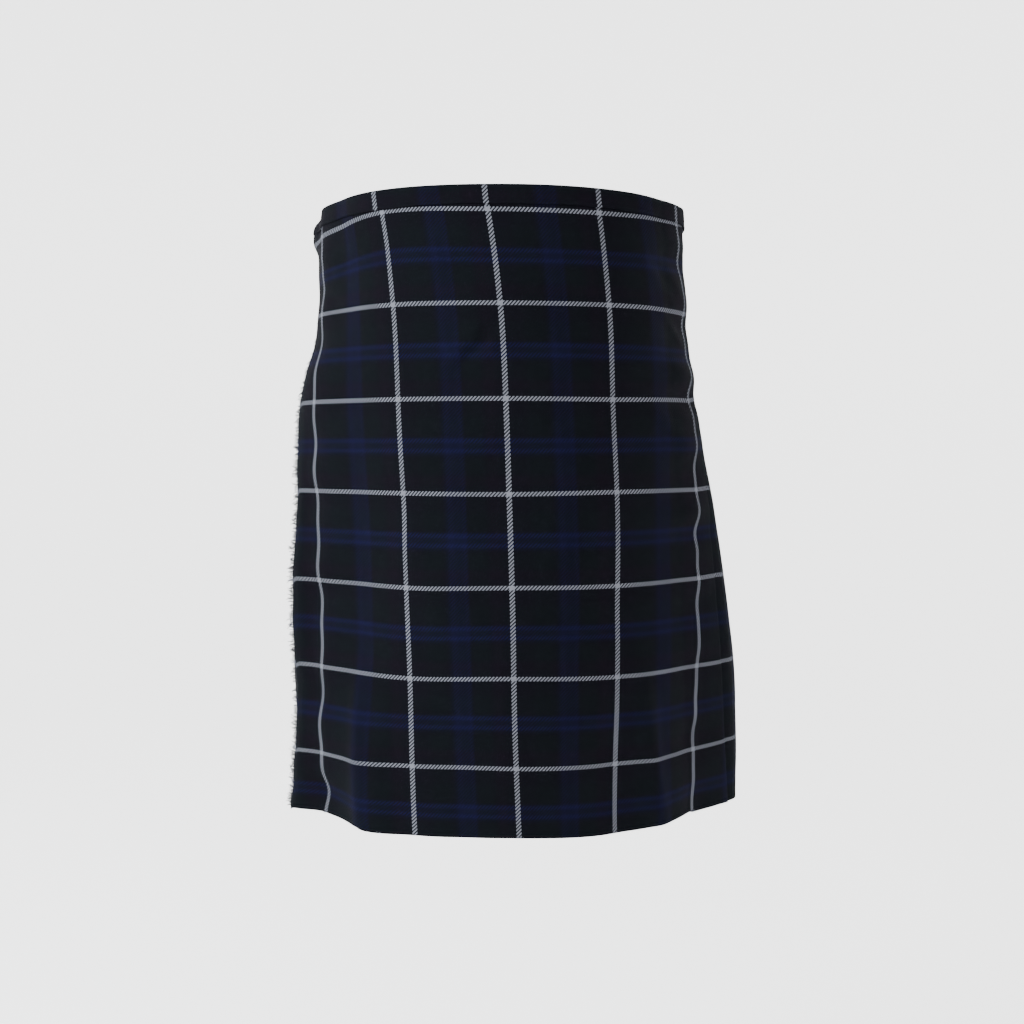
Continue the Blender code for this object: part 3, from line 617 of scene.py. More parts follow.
def make_waistband(finish):
    def over_s(rows, a):
        first, last = EDGE, rows.line(0) + 0.004
        return first + (last - first) * a

    def over_out(rows, s):
        flat = rows.top[:, None] + STEP_OUT
        return np.where(s > rows.line(0), flat, rows.over(np.minimum(s, rows.line(0))) + STEP_OUT)

    def over_in(rows, s):
        loose = rows.over(np.minimum(s, rows.line(-2))) - STEP_OUT
        return loose + (INSIDE - loose) * smooth(rows.line(-2) - 0.006, rows.line(-2), s)

    def jog(s):
        """The binding was cut apart from the cloth below, so its stripes sit a little off."""
        near = lambda stripe: np.exp(-((s - stripe) / 0.03) ** 2)
        return 0.0012 * near(-REPEAT) + 0.0010 * near(REPEAT)

    flat = lambda rows, s: rows.top[:, None] + STEP_OUT
    inside = lambda rows, s: INSIDE + 0 * s
    over = make_band("waistband_over_cloth", over_s, over_out, over_in, 240, finish, jog)

    def back_s(rows, a):
        first, last = rows.line(0) + 0.004 + SEAM, rows.line(PLEATS) + CLOTH
        return first + (last - first) * a

    back = make_band("waistband_back_cloth", back_s, flat, inside, 260, finish)

    def under_s(rows, a):
        first = (rows.last - rows.around)[:, None] + CLOTH + 2 * SEAM
        step = (rows.line(-2) - (rows.last - rows.around)[:, None]) / (FRONT_STATIONS - 1)
        return first + (rows.line(-2) - step - first) * a

    under_out = lambda rows, s: rows.under(s) + STEP_OUT
    under = make_band("waistband_under_cloth", under_s, under_out, inside, 160, finish)
    return over, back, under


# --- fringe -------------------------------------------------------------------------------
def tubes(paths, radius, sides=4):
    """Points and faces of many closed tubes: paths is tubes x stations x 3, radius the same x 1.

    The two directions across each tube come from its own chord and the vertical.
    """
    n, m = paths.shape[:2]
    chord = np.gradient(paths, axis=1)
    chord /= np.linalg.norm(chord, axis=2)[..., None] + 1e-12
    helper = np.where(np.abs(chord[..., 2:3]) > 0.8, [[[1.0, 0.0, 0.0]]], [[[0.0, 0.0, 1.0]]])
    a = np.cross(chord, helper)
    a /= np.linalg.norm(a, axis=2)[..., None] + 1e-12
    b = np.cross(chord, a)
    w = 2 * np.pi * np.arange(sides) / sides
    ring = (np.cos(w)[:, None] * a[:, :, None] + np.sin(w)[:, None] * b[:, :, None])
    points = paths[:, :, None] + ring * radius[:, :, None]
    at = np.arange(n * m * sides).reshape(n, m, sides)
    p, q = at[:, :-1], at[:, 1:]
    quads = [np.stack((p, np.roll(p, -1, 2), np.roll(q, -1, 2), q), -1).reshape(-1, 4)]
    k = np.arange(sides // 2 - 1)
    for ring, way in ((at[:, 0], -1), (at[:, -1], 1)):
        cap = np.stack((ring[:, k], ring[:, k + 1], ring[:, sides - 2 - k], ring[:, sides - 1 - k]), -1)
        quads.append(cap.reshape(-1, 4)[:, ::way])
    return points, np.concatenate(quads)


FRINGE_FROM, FRINGE_PITCH = 0.0215, 0.00056       # below the band, and from thread to thread


def make_fringe(finish):
    """Threads left standing where the warp was drawn out of the apron's free edge."""
    rng = np.random.default_rng(7)
    v = np.arange(FRINGE_FROM, LENGTH - 0.001, FRINGE_PITCH)
    v = v + rng.uniform(-0.0004, 0.0004, len(v))
    n = len(v)
    t = np.linspace(0, 1, 6)[None, :]
    tufts = 1 + 0.22 * np.sin(v / 0.0015) + 0.18 * np.sin(v / 0.0041 + 1.0)
    reach = (rng.uniform(0.0032, 0.0062, n) * tufts)[:, None]
    droop = rng.uniform(-0.55, 0.75, n)[:, None]
    curl = rng.uniform(-0.5, 0.5, n)[:, None]
    out = rng.uniform(-0.25, 0.35, n)[:, None]
    root = -0.0012
    s = EDGE - root * (1 - t) - reach * t
    z = -v[:, None] - reach * (droop * t ** 1.5 + curl * t * (1 - t))
    rows = Rows(-v)
    level = rows.over(np.full((n, 1), EDGE)) + reach * (out * t + 0.3 * t * t)
    sag = lay(LAY_DOWN, np.full_like(s, -2 * REPEAT), v[:, None] + 0 * s)
    z_cloth = z - hem_dip(s, v[:, None]) - sag
    base = relief(np.full_like(s, EDGE), z_cloth)
    paths = place(s, z_cloth, level + base, soft=False)
    radius = (0.00046 * (1 - 0.45 * t) * rng.uniform(0.8, 1.15, n)[:, None])[..., None]
    points, quads = tubes(paths, radius)
    uv = np.zeros(points.shape[:3] + (2,))
    uv[..., 0] = rng.uniform(0, 1, n)[:, None, None]
    uv[..., 1] = v[:, None, None]
    return piece("apron_fringe_threads", points, quads, uv, finish, sharp=180)


def make_frayed_end(finish):
    """Short threads at the raw end of the binding, above the fringe of the edge."""
    rng = np.random.default_rng(11)
    n = 90
    depth = rng.uniform(0.0012, 0.0185, n)
    t = np.linspace(0, 1, 5)[None, :]
    reach = rng.uniform(0.0020, 0.0066, n)[:, None] * (0.4 + depth[:, None] / 0.018 * 0.8)
    rows = Rows(-depth)
    z = -depth[:, None] - reach * (rng.uniform(-0.3, 1.0, n)[:, None] * t + 0.25 * t * t)
    s = EDGE + 0.0006 - (reach + 0.0006) * t
    side = rng.choice([-1.0, 1.0], n)[:, None] * STEP_OUT
    level = rows.over(np.full((n, 1), EDGE)) + side + reach * rng.uniform(-0.4, 0.4, n)[:, None] * t
    paths = place(s, z, level, soft=False)
    radius = (0.00042 * (1 - 0.5 * t) + np.zeros((n, 1)))[..., None]
    points, quads = tubes(paths, radius)
    uv = np.zeros(points.shape[:3] + (2,))
    uv[..., 0] = rng.uniform(0, 1, n)[:, None, None]
    uv[..., 1] = 0.110
    return piece("waistband_raw_threads", points, quads, uv, finish, sharp=180)


# --- straps and buckles -------------------------------------------------------------------
# Drawn flat, as in the CAD model: along runs towards the back, up is the level.
MIDDLE = STRAP_TOP - STRAP_WIDTH / 2
FACE = float(Rows([0.0, -BAND_DROP]).top.max()) + STEP_OUT + CLOTH / 2
FRONT_BAR, HEEL_BAR, CHAPE_END, STRAP_TIP, KEEPER = 0.046, 0.070, 0.125, 0.112, 0.086
CHAPE = 0.0012            # leather that holds the buckle
CHORD = 0.0002            # what straight pieces round a curve take from a gap
GRIP = 0.0007             # play of the leather round the heel bar
SOLE_THICK = 0.0006       # keeper, below the other leather
LOW = FACE + SEAM + CHORD + STRAP_THICK / 2
SOLE = FACE + SEAM + 2 * CHORD
HEEL_UP = SOLE + SOLE_THICK + SEAM + CHORD + CHAPE + GRIP + BAR
OVER = HEEL_UP + BAR + GRIP + CHAPE + SEAM + CHORD + STRAP_THICK / 2
FRONT_UP = LOW + STRAP_THICK / 2 + SEAM + CHORD + BAR


def line_above_fell(i, z):
    return crease_s(z) + (last_s(z) - crease_s(z)) * SHARES[i]


def slit_s(z):
    return line_above_fell(3, z) + 0.4 * (line_above_fell(4, z) - line_above_fell(3, z))


def even_path(path, step, soften):
    """The same path with even steps, its corners softened by repeated three point means."""
    path = np.array(path, float)
    run = np.concatenate(([0.0], np.cumsum(np.hypot(*np.diff(path, axis=0).T))))
    at = np.linspace(0, run[-1], max(3, int(run[-1] / step)))
    out = np.stack([np.interp(at, run, path[:, k]) for k in range(2)], -1)
    for _ in range(soften):
        out[1:-1] = out[1:-1] * 0.5 + (out[:-2] + out[2:]) * 0.25
    return out


ACROSS = np.array([-1.0, -0.985, -0.94, -0.86, -0.80, -0.74, -0.5, -0.2, 0.2, 0.5, 0.74, 0.80,
                   0.86, 0.94, 0.985, 1.0])
PROUD = np.array([0.0, 0.55, 0.86, 1.0, 0.90, 1.0, 1.0, 1.0, 1.0, 1.0, 1.0, 0.90, 1.0, 0.86, 0.55, 0.0])


def ribbon(name, path, thick, half, start, way, finish, sharp=60):
    """A strip of leather: at each point of the path a flat section with rounded edges and a
    creased line near each of them.  half is the half width at each point."""
    d = np.gradient(path, axis=0)
    d /= np.linalg.norm(d, axis=1)[:, None]
    normal = np.stack((-d[:, 1], d[:, 0]), -1)
    across = np.concatenate((ACROSS, ACROSS[::-1][1:-1]))[None, :]
    off = np.concatenate((PROUD, -PROUD[::-1][1:-1]))[None, :] * thick / 2
    half = np.broadcast_to(half, (len(path),))[:, None]
    along = path[:, :1] + normal[:, :1] * off
    up = path[:, 1:] + normal[:, 1:] * off
    z = MIDDLE + across * half
    points = place(start(z) + way * along, z, up, soft=False)
    run = np.concatenate(([0.0], np.cumsum(np.hypot(*np.diff(path, axis=0).T))))[:, None]
    uv = np.stack((run + 0 * z, across * half), -1)
    return piece(name, points, loop_faces(*z.shape), uv, finish, sharp)


def cut_through(obj, tool):
    """Cuts tool out of obj for good and removes it."""
    mod = obj.modifiers.new("cut", "BOOLEAN")
    mod.operation, mod.solver, mod.object = "DIFFERENCE", "EXACT", tool
    bpy.context.view_layer.update()
    cut = bpy.data.meshes.new_from_object(obj.evaluated_get(bpy.context.evaluated_depsgraph_get()))
    obj.modifiers.clear()
    obj.data = cut
    bpy.data.objects.remove(tool, do_unlink=True)
    cut.shade_smooth()
    cut.set_sharp_from_angle(angle=math.radians(50))


def wires(name, paths, radius, start, way, finish, sides=8, closed=False):
    """Round wires or stitches along flat paths (along, up, z), as one piece."""
    paths = np.asarray(paths, float)
    placed = place(start(paths[..., 2]) + way * paths[..., 0], paths[..., 2], paths[..., 1], soft=False)
    n, m = placed.shape[:2]
    r = np.broadcast_to(np.asarray(radius, float), (n, m))[..., None]
    if closed:
        wide = np.concatenate((placed[:, -2:], placed, placed[:, :2]), axis=1)
        points, _ = tubes(wide, np.concatenate((r[:, -2:], r, r[:, :2]), axis=1), sides)
        points = points[:, 2:-2]
        at = np.arange(n * m * sides).reshape(n, m, sides)
        q = np.roll(at, -1, 1)
        quads = np.stack((at, np.roll(at, -1, 2), np.roll(q, -1, 2), q), -1).reshape(-1, 4)
    else:
        points, quads = tubes(placed, r, sides)
    uv = np.zeros(points.shape[:3] + (2,))
    uv[..., 0] = np.linspace(0, 1, m)[None, :, None]
    uv[..., 1] = (np.arange(sides) / sides)[None, None, :]
    return piece(name, points, quads, uv, finish, sharp=180)


def stitch_row(a, b, pitch, up_of, z_a, z_b, lift=0.00022):
    """Stitches from (a, z_a) to (b, z_b): each a low arch a little shorter than its pitch."""
    length = math.hypot(b - a, z_b - z_a)
    n = max(1, int(length / pitch))
    t = (np.arange(n)[:, None] + np.linspace(0.10, 0.82, 6)[None, :]) / n
    arch = np.sin(np.pi * np.linspace(0, 1, 6))[None, :]
    along = a + (b - a) * t
    z = z_a + (z_b - z_a) * t
    return np.stack((along, up_of(along) + lift * (arch * 1.3 - 0.5), z), -1)


def make_fastening(side, start, way, lead, finishes):
    leather, metal, thread = finishes
    path = lead + [
        (FRONT_BAR - 0.022, LOW), (FRONT_BAR + 0.004, LOW), (FRONT_BAR + 0.007, LOW + 0.0006),
        (HEEL_BAR - 0.007, OVER - 0.0010), (HEEL_BAR - 0.002, OVER), (HEEL_BAR + 0.014, OVER),
        (KEEPER + 0.012, OVER - 0.0010), (STRAP_TIP, OVER - 0.0018),
    ]
    path = even_path(path, 0.0018, 3)
    to_tip = STRAP_TIP - path[:, 0]
    outside = path[:, 1] > 0.004
    half = STRAP_WIDTH / 2 * np.where(outside, np.clip(to_tip / 0.0135, 0.02, 1.0) ** 0.55, 1.0)
    strap = ribbon(f"strap_{side}_leather", path, STRAP_THICK, half, start, way, leather)
    shown = path[outside & (path[:, 0] > 0.001)]
    top_of = lambda along: np.interp(along, shown[:, 0], shown[:, 1]) + STRAP_THICK / 2

    # punched holes, the one in use drawn long by the tongue
    holes = []
    w = np.linspace(0, 2 * np.pi, 17)[:-1]
    for along in (HEEL_BAR - 0.0438, HEEL_BAR - 0.0311, HEEL_BAR - 0.0062, HEEL_BAR + 0.0318):
        long = 0.0042 if abs(along - HEEL_BAR + 0.0062) < 1e-9 else 0.0011
        rim = np.stack([np.stack((along + long * np.cos(w), top_of(along) + up + 0 * w,
                                  MIDDLE + 0.0012 * np.sin(w)), -1) for up in (-0.0042, 0.002)])
        holes.append(rim)
    count = len(holes)
    rims = np.stack(holes)
    placed = place(start(rims[..., 2]) + way * rims[..., 0], rims[..., 2], rims[..., 1], soft=False)
    at = np.arange(count * 2 * 16).reshape(count, 2, 16)
    side_quads = np.stack((at[:, 0], np.roll(at[:, 0], -1, 1), np.roll(at[:, 1], -1, 1), at[:, 1]), -1)
    k = np.arange(7)
    caps = [np.stack((at[:, e][:, k], at[:, e][:, k + 1], at[:, e][:, 14 - k], at[:, e][:, 15 - k]), -1)
            [..., ::(1 if e else -1)] for e in (0, 1)]
    quads = np.concatenate([side_quads.reshape(-1, 4)] + [c.reshape(-1, 4) for c in caps])
    punch = piece("punch_" + side, placed, quads, np.zeros((count * 32, 2)), leather)
    cut_through(strap, punch)

    # leather that holds the buckle, turned round the heel bar
    r = BAR + GRIP + CHAPE / 2
    round_bar = [(HEEL_BAR - r * math.sin(a), HEEL_UP - r * math.cos(a))
                 for a in np.linspace(0.0, math.pi, 10)]
    under = FACE + SEAM + CHORD + CHAPE / 2
    chape = [(CHAPE_END, under), (KEEPER + 0.016, under), (KEEPER + 0.006, HEEL_UP - r)]
    chape = even_path(chape + round_bar + [(HEEL_BAR + 0.010, HEEL_UP + r)], 0.0008, 2)
    narrow = STRAP_WIDTH / 2 - 0.003
    from_end = np.abs(chape[:, 0] - CHAPE_END)
    end_half = narrow * np.where(np.arange(len(chape)) < len(chape) // 3,
                                 np.clip(0.55 + from_end / 0.008, 0, 1) ** 0.6, 1.0)
    tab = ribbon(f"buckle_tab_{side}_leather", chape, CHAPE, end_half, start, way, leather)
    near, far, to_side = HEEL_BAR - 0.006, HEEL_BAR + 0.005, 0.0022
    corners = ((near, -to_side), (far, -to_side), (far, to_side), (near, to_side))
    notch = np.array([[(a, u, MIDDLE + h) for a, h in corners]
                      for u in (HEEL_UP - 0.0005, OVER + 0.004)])
    placed = place(start(notch[..., 2]) + way * notch[..., 0], notch[..., 2], notch[..., 1], soft=False)
    box = np.array([[0, 1, 5, 4], [1, 2, 6, 5], [2, 3, 7, 6], [3, 0, 4, 7], [3, 2, 1, 0], [4, 5, 6, 7]])
    cut_through(tab, piece("notch_" + side, placed, box, np.zeros((8, 2)), leather))

    # buckle: a wire frame with softly rounded corners, and its tongue
    wide = STRAP_WIDTH / 2 + 0.0005 + BAR
    a = np.linspace(0, 2 * np.pi, 73)[:-1]
    c, s = np.cos(a), np.sin(a)
    along = (FRONT_BAR + HEEL_BAR) / 2 + (HEEL_BAR - FRONT_BAR) / 2 * np.sign(c) * np.abs(c) ** 0.36
    height = MIDDLE + wide * np.sign(s) * np.abs(s) ** 0.36
    share = (along - FRONT_BAR) / (HEEL_BAR - FRONT_BAR)
    bow = 0.0007 * (1 - ((height - MIDDLE) / wide) ** 2) * (1 - share)
    rise = FRONT_UP + (HEEL_UP - FRONT_UP) * smooth(0.12, 0.88, share) + bow
    frame_path = np.stack((along, rise, height), -1)
    buckle = wires(f"buckle_{side}_frame", frame_path[None], BAR, start, way, metal,
                   12, True)
    rest = FRONT_UP + BAR + 0.0009
    knots = np.array([(HEEL_BAR + 0.0010, HEEL_UP + 0.0012), (HEEL_BAR - 0.0012, HEEL_UP + 0.0017),
                      (HEEL_BAR - 0.0045, HEEL_UP + 0.0019), (FRONT_BAR + 0.010, rest + 0.0007),
                      (FRONT_BAR + 0.003, rest + 0.0006), (FRONT_BAR - 0.0022, rest - 0.0002)])
    pin = even_path(knots, 0.0006, 6)
    taper = 0.00085 * np.clip(0.35 + (pin[:, 0] - FRONT_BAR + 0.0022) / 0.004, 0, 1)
    pin = np.concatenate((pin, np.full((len(pin), 1), MIDDLE)), axis=1)
    wires(f"buckle_{side}_tongue", pin[None], taper[None], start, way, metal, 10)
    a = np.linspace(0, 2 * np.pi, 25)[:-1]
    eye = np.stack((HEEL_BAR + 0.0014 * np.cos(a), HEEL_UP + 0.0014 * np.sin(a), MIDDLE + 0 * a), -1)
    eyes = np.stack([eye + (0, 0, d) for d in (-0.0006, 0.0006)])
    wires(f"buckle_{side}_eye", eyes, 0.00065, start, way, metal, 8, True)

    # keeper: a band of leather round strap and tab
    lo, hi = SOLE + 0.0004, OVER + STRAP_THICK / 2 + SEAM + CHORD + 0.0005
    a = np.linspace(0, 2 * np.pi, 65)[:-1]
    c, s = np.cos(a), np.sin(a)
    up = (lo + hi) / 2 + (hi - lo) / 2 * np.sign(c) * np.abs(c) ** 0.42
    height = MIDDLE + (STRAP_WIDTH / 2 + 0.0012) * np.sign(s) * np.abs(s) ** 0.22
    grow = np.stack((np.gradient(height), -np.gradient(up)), -1)
    grow /= np.linalg.norm(grow, axis=1)[:, None]
    cross = np.array([(-1, -0.3), (-0.97, 0.6), (-0.86, 1), (-0.4, 0.94), (0.4, 0.94), (0.86, 1),
                      (0.97, 0.6), (1, -0.3), (0.86, -1), (-0.86, -1)])
    flat = np.stack((KEEPER + 0.0035 * cross[None, :, 0] + 0 * up[:, None],
                     up[:, None] - grow[:, :1] * cross[None, :, 1] * 0.00045,
                     height[:, None] - grow[:, 1:] * cross[None, :, 1] * 0.00045), -1)
    placed = place(start(flat[..., 2]) + way * flat[..., 0], flat[..., 2], flat[..., 1], soft=False)
    none = 0 * flat[..., 0]
    uv = np.stack((np.linspace(0, 0.07, 64)[:, None] + none, 0.0035 * cross[None, :, 0] + none), -1)
    keeper = piece(f"keeper_{side}_leather", placed, loop_faces(64, 10, closed=True), uv, leather,
                   sharp=60)

    # stitching: a row near each edge of the strap, and a box on the tab's end
    inset = STRAP_WIDTH / 2 * 0.80
    rows = [stitch_row(0.003, STRAP_TIP - 0.016, 0.0030, top_of, MIDDLE + k * inset, MIDDLE + k * inset)
            for k in (-1, 1)]
    tab_top = lambda x: under + CHAPE / 2 + 0 * x
    rows += [stitch_row(STRAP_TIP + 0.003, CHAPE_END - 0.002, 0.0027, tab_top, MIDDLE + k * 0.0070,
                        MIDDLE + k * 0.0070) for k in (-1, 1)]
    rows.append(stitch_row(CHAPE_END - 0.002, CHAPE_END - 0.0019, 0.0027, tab_top,
                           MIDDLE - 0.0070, MIDDLE + 0.0070))
    wires(f"stitching_{side}", np.concatenate(rows), 0.00024, start, way, thread, 6)

    for obj, node in ((strap, "strap_"), (tab, "buckle_tab_"), (buckle, "buckle_"), (keeper, "keeper_")):
        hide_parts(node + side)


def strap_lead():
    """Hidden part of the wearer's left strap: inside the waist, then out through the slit."""
    z = np.array([MIDDLE])
    first, last = last_s(z) - around(z), crease_s(z) - 2 * (last_s(z) - crease_s(z)) / PLEATS
    stops = [float((first + (last - first) * k / (FRONT_STATIONS - 1))[0])
             for k in range(FRONT_STATIONS - 4, FRONT_STATIONS)]
    slit = float(slit_s(z)[0])
    inside = [(s - slit, -0.0020) for s in stops] + [(-0.030, -0.0020), (-0.004, -0.0020)]
    return inside + [(-0.0006, -0.0008), (0.0004, LOW - 0.003), (0.003, LOW)]


def make_slit_edge(thread):
    """Buttonhole stitches round the slit where the left strap comes out."""
    n = 44
    a = np.linspace(0, 2 * np.pi, n + 1)[:-1]
    z = MIDDLE + (STRAP_WIDTH / 2 + 0.0014) * np.sign(np.sin(a)) * np.abs(np.sin(a)) ** 0.35
    along = 0.0026 * np.sign(np.cos(a)) * np.abs(np.cos(a)) ** 0.6
    t = np.linspace(0, 1, 5)[None, :]
    level = np.where(z > -BAND_DROP, FACE, FACE - STEP_OUT)[:, None] + 0.0005
    out = np.stack((along[:, None] + 0.0016 * np.cos(a)[:, None] * t,
                    level + 0.0004 * np.sin(np.pi * t),
                    z[:, None] + 0.0016 * np.sin(a)[:, None] * t), -1)
    return wires("slit_edge_stitches", out, 0.00035, slit_s, 1, thread, 6)


# --- finishes -----------------------------------------------------------------------------
class Term:
    """One value in a finish.  Sums, products and comparisons of terms become Math nodes."""

    def __init__(self, finish, socket):
        self.finish, self.socket = finish, socket

    def _math(self, operation, other=None, swap=False):
        values = {0: self} if other is None else ({0: other, 1: self} if swap else {0: self, 1: other})
        return self.finish.node("ShaderNodeMath", {"operation": operation}, values)

    def __add__(self, other): return self._math("ADD", other)
    def __radd__(self, other): return self._math("ADD", other)
    def __sub__(self, other): return self._math("SUBTRACT", other)
    def __rsub__(self, other): return self._math("SUBTRACT", other, swap=True)
    def __mul__(self, other): return self._math("MULTIPLY", other)
    def __rmul__(self, other): return self._math("MULTIPLY", other)
    def __truediv__(self, other): return self._math("DIVIDE", other)
    def __rtruediv__(self, other): return self._math("DIVIDE", other, swap=True)
    def __pow__(self, other): return self._math("POWER", other)
    def __mod__(self, other): return self._math("FLOORED_MODULO", other)
    def __lt__(self, other): return self._math("LESS_THAN", other)
    def __gt__(self, other): return self._math("GREATER_THAN", other)
    def __abs__(self): return self._math("ABSOLUTE")
    def __floor__(self): return self._math("FLOOR")

    def fraction(self): return self._math("FRACT")
    def sine(self): return self._math("SINE")


class Finish:
    """One material: a Principled shader and the nodes that feed it."""

    def __init__(self, name, colour, rough, **constants):
        self.material = bpy.data.materials.new(name)
        self.material.use_nodes = True
        self.material.diffuse_color = colour
        self.tree = self.material.node_tree
        self.shader = self.tree.nodes["Principled BSDF"]
        self.shader.inputs["Base Color"].default_value = colour
        self.shader.inputs["Roughness"].default_value = rough
        for key, value in constants.items():
            self.shader.inputs[key.replace("_", " ")].default_value = value

    def node(self, kind, settings=None, values=None, out=0):
        """A node of this kind with its settings, then the values or links of its sockets."""
        made = self.tree.nodes.new(kind)
        for key, value in (settings or {}).items():
            if key == "stops":
                ramp = made.color_ramp
                while len(ramp.elements) < len(value):
                    ramp.elements.new(0.5)
                for element, (at, colour) in zip(ramp.elements, value):
                    element.position, element.color = at, colour
            else:
                setattr(made, key, value)
        for key, value in (values or {}).items():
            self.feed(made.inputs[key], value)
        return Term(self, made.outputs[out])

    def feed(self, socket, value):
        if isinstance(value, Term):
            self.tree.links.new(value.socket, socket)
        else:
            socket.default_value = value

    def set(self, name, value):
        self.feed(self.shader.inputs[name], value)

    def mix(self, share, a, b):
        return self.node("ShaderNodeMix", {"data_type": "RGBA"}, {0: share, 6: a, 7: b}, out=2)

    def tint(self, colour, amount):
        """A colour times a value."""
        return self.node("ShaderNodeVectorMath", {"operation": "SCALE"}, {0: colour, "Scale": amount})

    def ramp(self, value, a, b, low=0.0, high=1.0):
        """Soft step from low at a to high at b."""
        return self.node("ShaderNodeMapRange", {"interpolation_type": "SMOOTHSTEP"},
                         {"Value": value, "From Min": a, "From Max": b, "To Min": low, "To Max": high})

    def uv(self):
        at = self.node("ShaderNodeUVMap", {"uv_map": "UVMap"})
        split = lambda k: self.node("ShaderNodeSeparateXYZ", None, {0: at}, out=k)
        return split("X"), split("Y")

    def here(self, scale=1.0, stretch=(1, 1, 1)):
        at = self.node("ShaderNodeTexCoord", out="Object")
        size = [scale * k for k in stretch]
        return self.node("ShaderNodeMapping", None, {"Vector": at, "Scale": size})

    def noise(self, at, scale, detail=2.0, rough=0.5, out=0):
        return self.node("ShaderNodeTexNoise", None, {"Vector": at, "Scale": scale, "Detail": detail,
                                                      "Roughness": rough}, out=out)

    def bump(self, height, depth, strength=1.0, after=None):
        values = {"Height": height, "Distance": depth, "Strength": strength}
        if after is not None:
            values["Normal"] = after
        return self.node("ShaderNodeBump", None, values)


def rgb(*c):
    return (*c, 1.0)


WHITE_WOOL = rgb(0.093, 0.096, 0.113)
BLACK_WOOL = rgb(0.0021, 0.0021, 0.0034)
GREEN_WOOL = rgb(0.0020, 0.0027, 0.0035)
NAVY_WOOL = rgb(0.0022, 0.0025, 0.0076)
BLUE_WEFT = rgb(0.0030, 0.0032, 0.0150)
BLUE_WARP = rgb(0.0026, 0.0026, 0.0092)
PLUM_WOOL = rgb(0.0027, 0.0021, 0.0037)


def sett(finish, x, white_half, blue_lines, blue):
    """Colour of the thread at place x in the repeat, where 0 is the middle of the white stripe.

    From the white stripe out: black, bottle green, a thin blue line, navy, a second thin blue
    line, bottle green, plum black, and white again.  blue_lines gives (place, half width) twice.
    """
    def line(centre, half, soft=0.016):
        return finish.ramp(abs(x - centre), half + soft, half - soft)

    colour = finish.mix(line(0.285, 0.095, 0.05), BLACK_WOOL, GREEN_WOOL)
    colour = finish.mix(line(0.715, 0.085, 0.05), colour, GREEN_WOOL)
    colour = finish.mix(line(0.865, 0.050, 0.04), colour, PLUM_WOOL)
    colour = finish.mix(line(0.505, 0.085, 0.04), colour, NAVY_WOOL)
    for centre, half in blue_lines:
        colour = finish.mix(line(centre, half), colour, blue)
    near_white = 0.5 - abs(x - 0.5)
    white = finish.ramp(near_white, white_half + 0.0015, white_half - 0.0015)
    return finish.mix(white, colour, WHITE_WOOL)


THREAD = 0.00087          # width of a warp or weft thread
WARP_BLUE = ((0.462, 0.026), (0.588, 0.019))
WEFT_BLUE = ((0.440, 0.023), (0.546, 0.021))
WHITE_WEFT = 0.0240       # half of the white stripe, as a share of the repeat


def tartan():
    """Two up, two down twill: warp and weft threads of the sett cross on slanting steps."""
    f = Finish("tartan wool twill", rgb(0.006, 0.006, 0.010), 0.88)
    f.set("Specular IOR Level", 0.015)
    f.set("Sheen Weight", 0.010)
    f.set("Sheen Roughness", 0.4)
    f.set("Sheen Tint", rgb(0.62, 0.68, 0.80))
    u, v = f.uv()
    place_in = lambda value, repeat: (value / repeat).fraction()
    warp = sett(f, place_in(u, REPEAT), 0.0235, WARP_BLUE, BLUE_WARP)
    weft = sett(f, place_in(v - FIRST_WEFT, DOWN_REPEAT), WHITE_WEFT, WEFT_BLUE, BLUE_WEFT)
    i, j = u / THREAD, v / THREAD
    steps = (math.floor(i) + math.floor(j)) % 4.0
    warp_up = steps < 1.5
    across_warp = abs(i.fraction() - 0.5) * 2.0
    across_weft = abs(j.fraction() - 0.5) * 2.0
    across = across_weft + (across_warp - across_weft) * warp_up
    colour = f.mix(warp_up, weft, warp)
    here = f.here(1.0)
    cloudy = f.noise(here, 26.0, 3.0)
    hairy = f.noise(here, 900.0, 2.0)
    # each thread's colour darkens towards its edges: painted shade where the thread dips under its
    # neighbour; the cloudy and hairy terms are the wool's own uneven tone
    shade = (1.0 - 0.42 * across ** 3.0) * (0.80 + 0.40 * cloudy) * (0.84 + 0.32 * hairy)
    f.set("Base Color", f.tint(colour, shade))
    f.set("Roughness", 0.80 + 0.12 * cloudy)
    thread = (1.0 - across * across) + 0.30 * hairy
    surface = f.bump(f.noise(here, 75.0, 2.0), 0.0006, 0.25)
    f.set("Normal", f.bump(thread, 0.00016, 0.55, after=surface))
    return f.material


def fringe_wool():
    """Loose weft threads, coloured by the stripe they come from."""
    f = Finish("fringe wool threads", rgb(0.010, 0.012, 0.018), 0.9)
    f.set("Specular IOR Level", 0.10)
    f.set("Sheen Weight", 0.08)
    f.set("Sheen Roughness", 0.5)
    each, v = f.uv()
    weft = sett(f, ((v - FIRST_WEFT) / DOWN_REPEAT).fraction(), WHITE_WEFT, WEFT_BLUE, BLUE_WEFT)
    twist = f.noise(f.here(1.0, (1, 1, 0.4)), 1400.0, 2.0)
    f.set("Base Color", f.tint(weft, (0.7 + 1.0 * each) * (0.7 + 0.6 * twist)))
    f.set("Normal", f.bump(twist, 0.0001, 0.5))
    return f.material


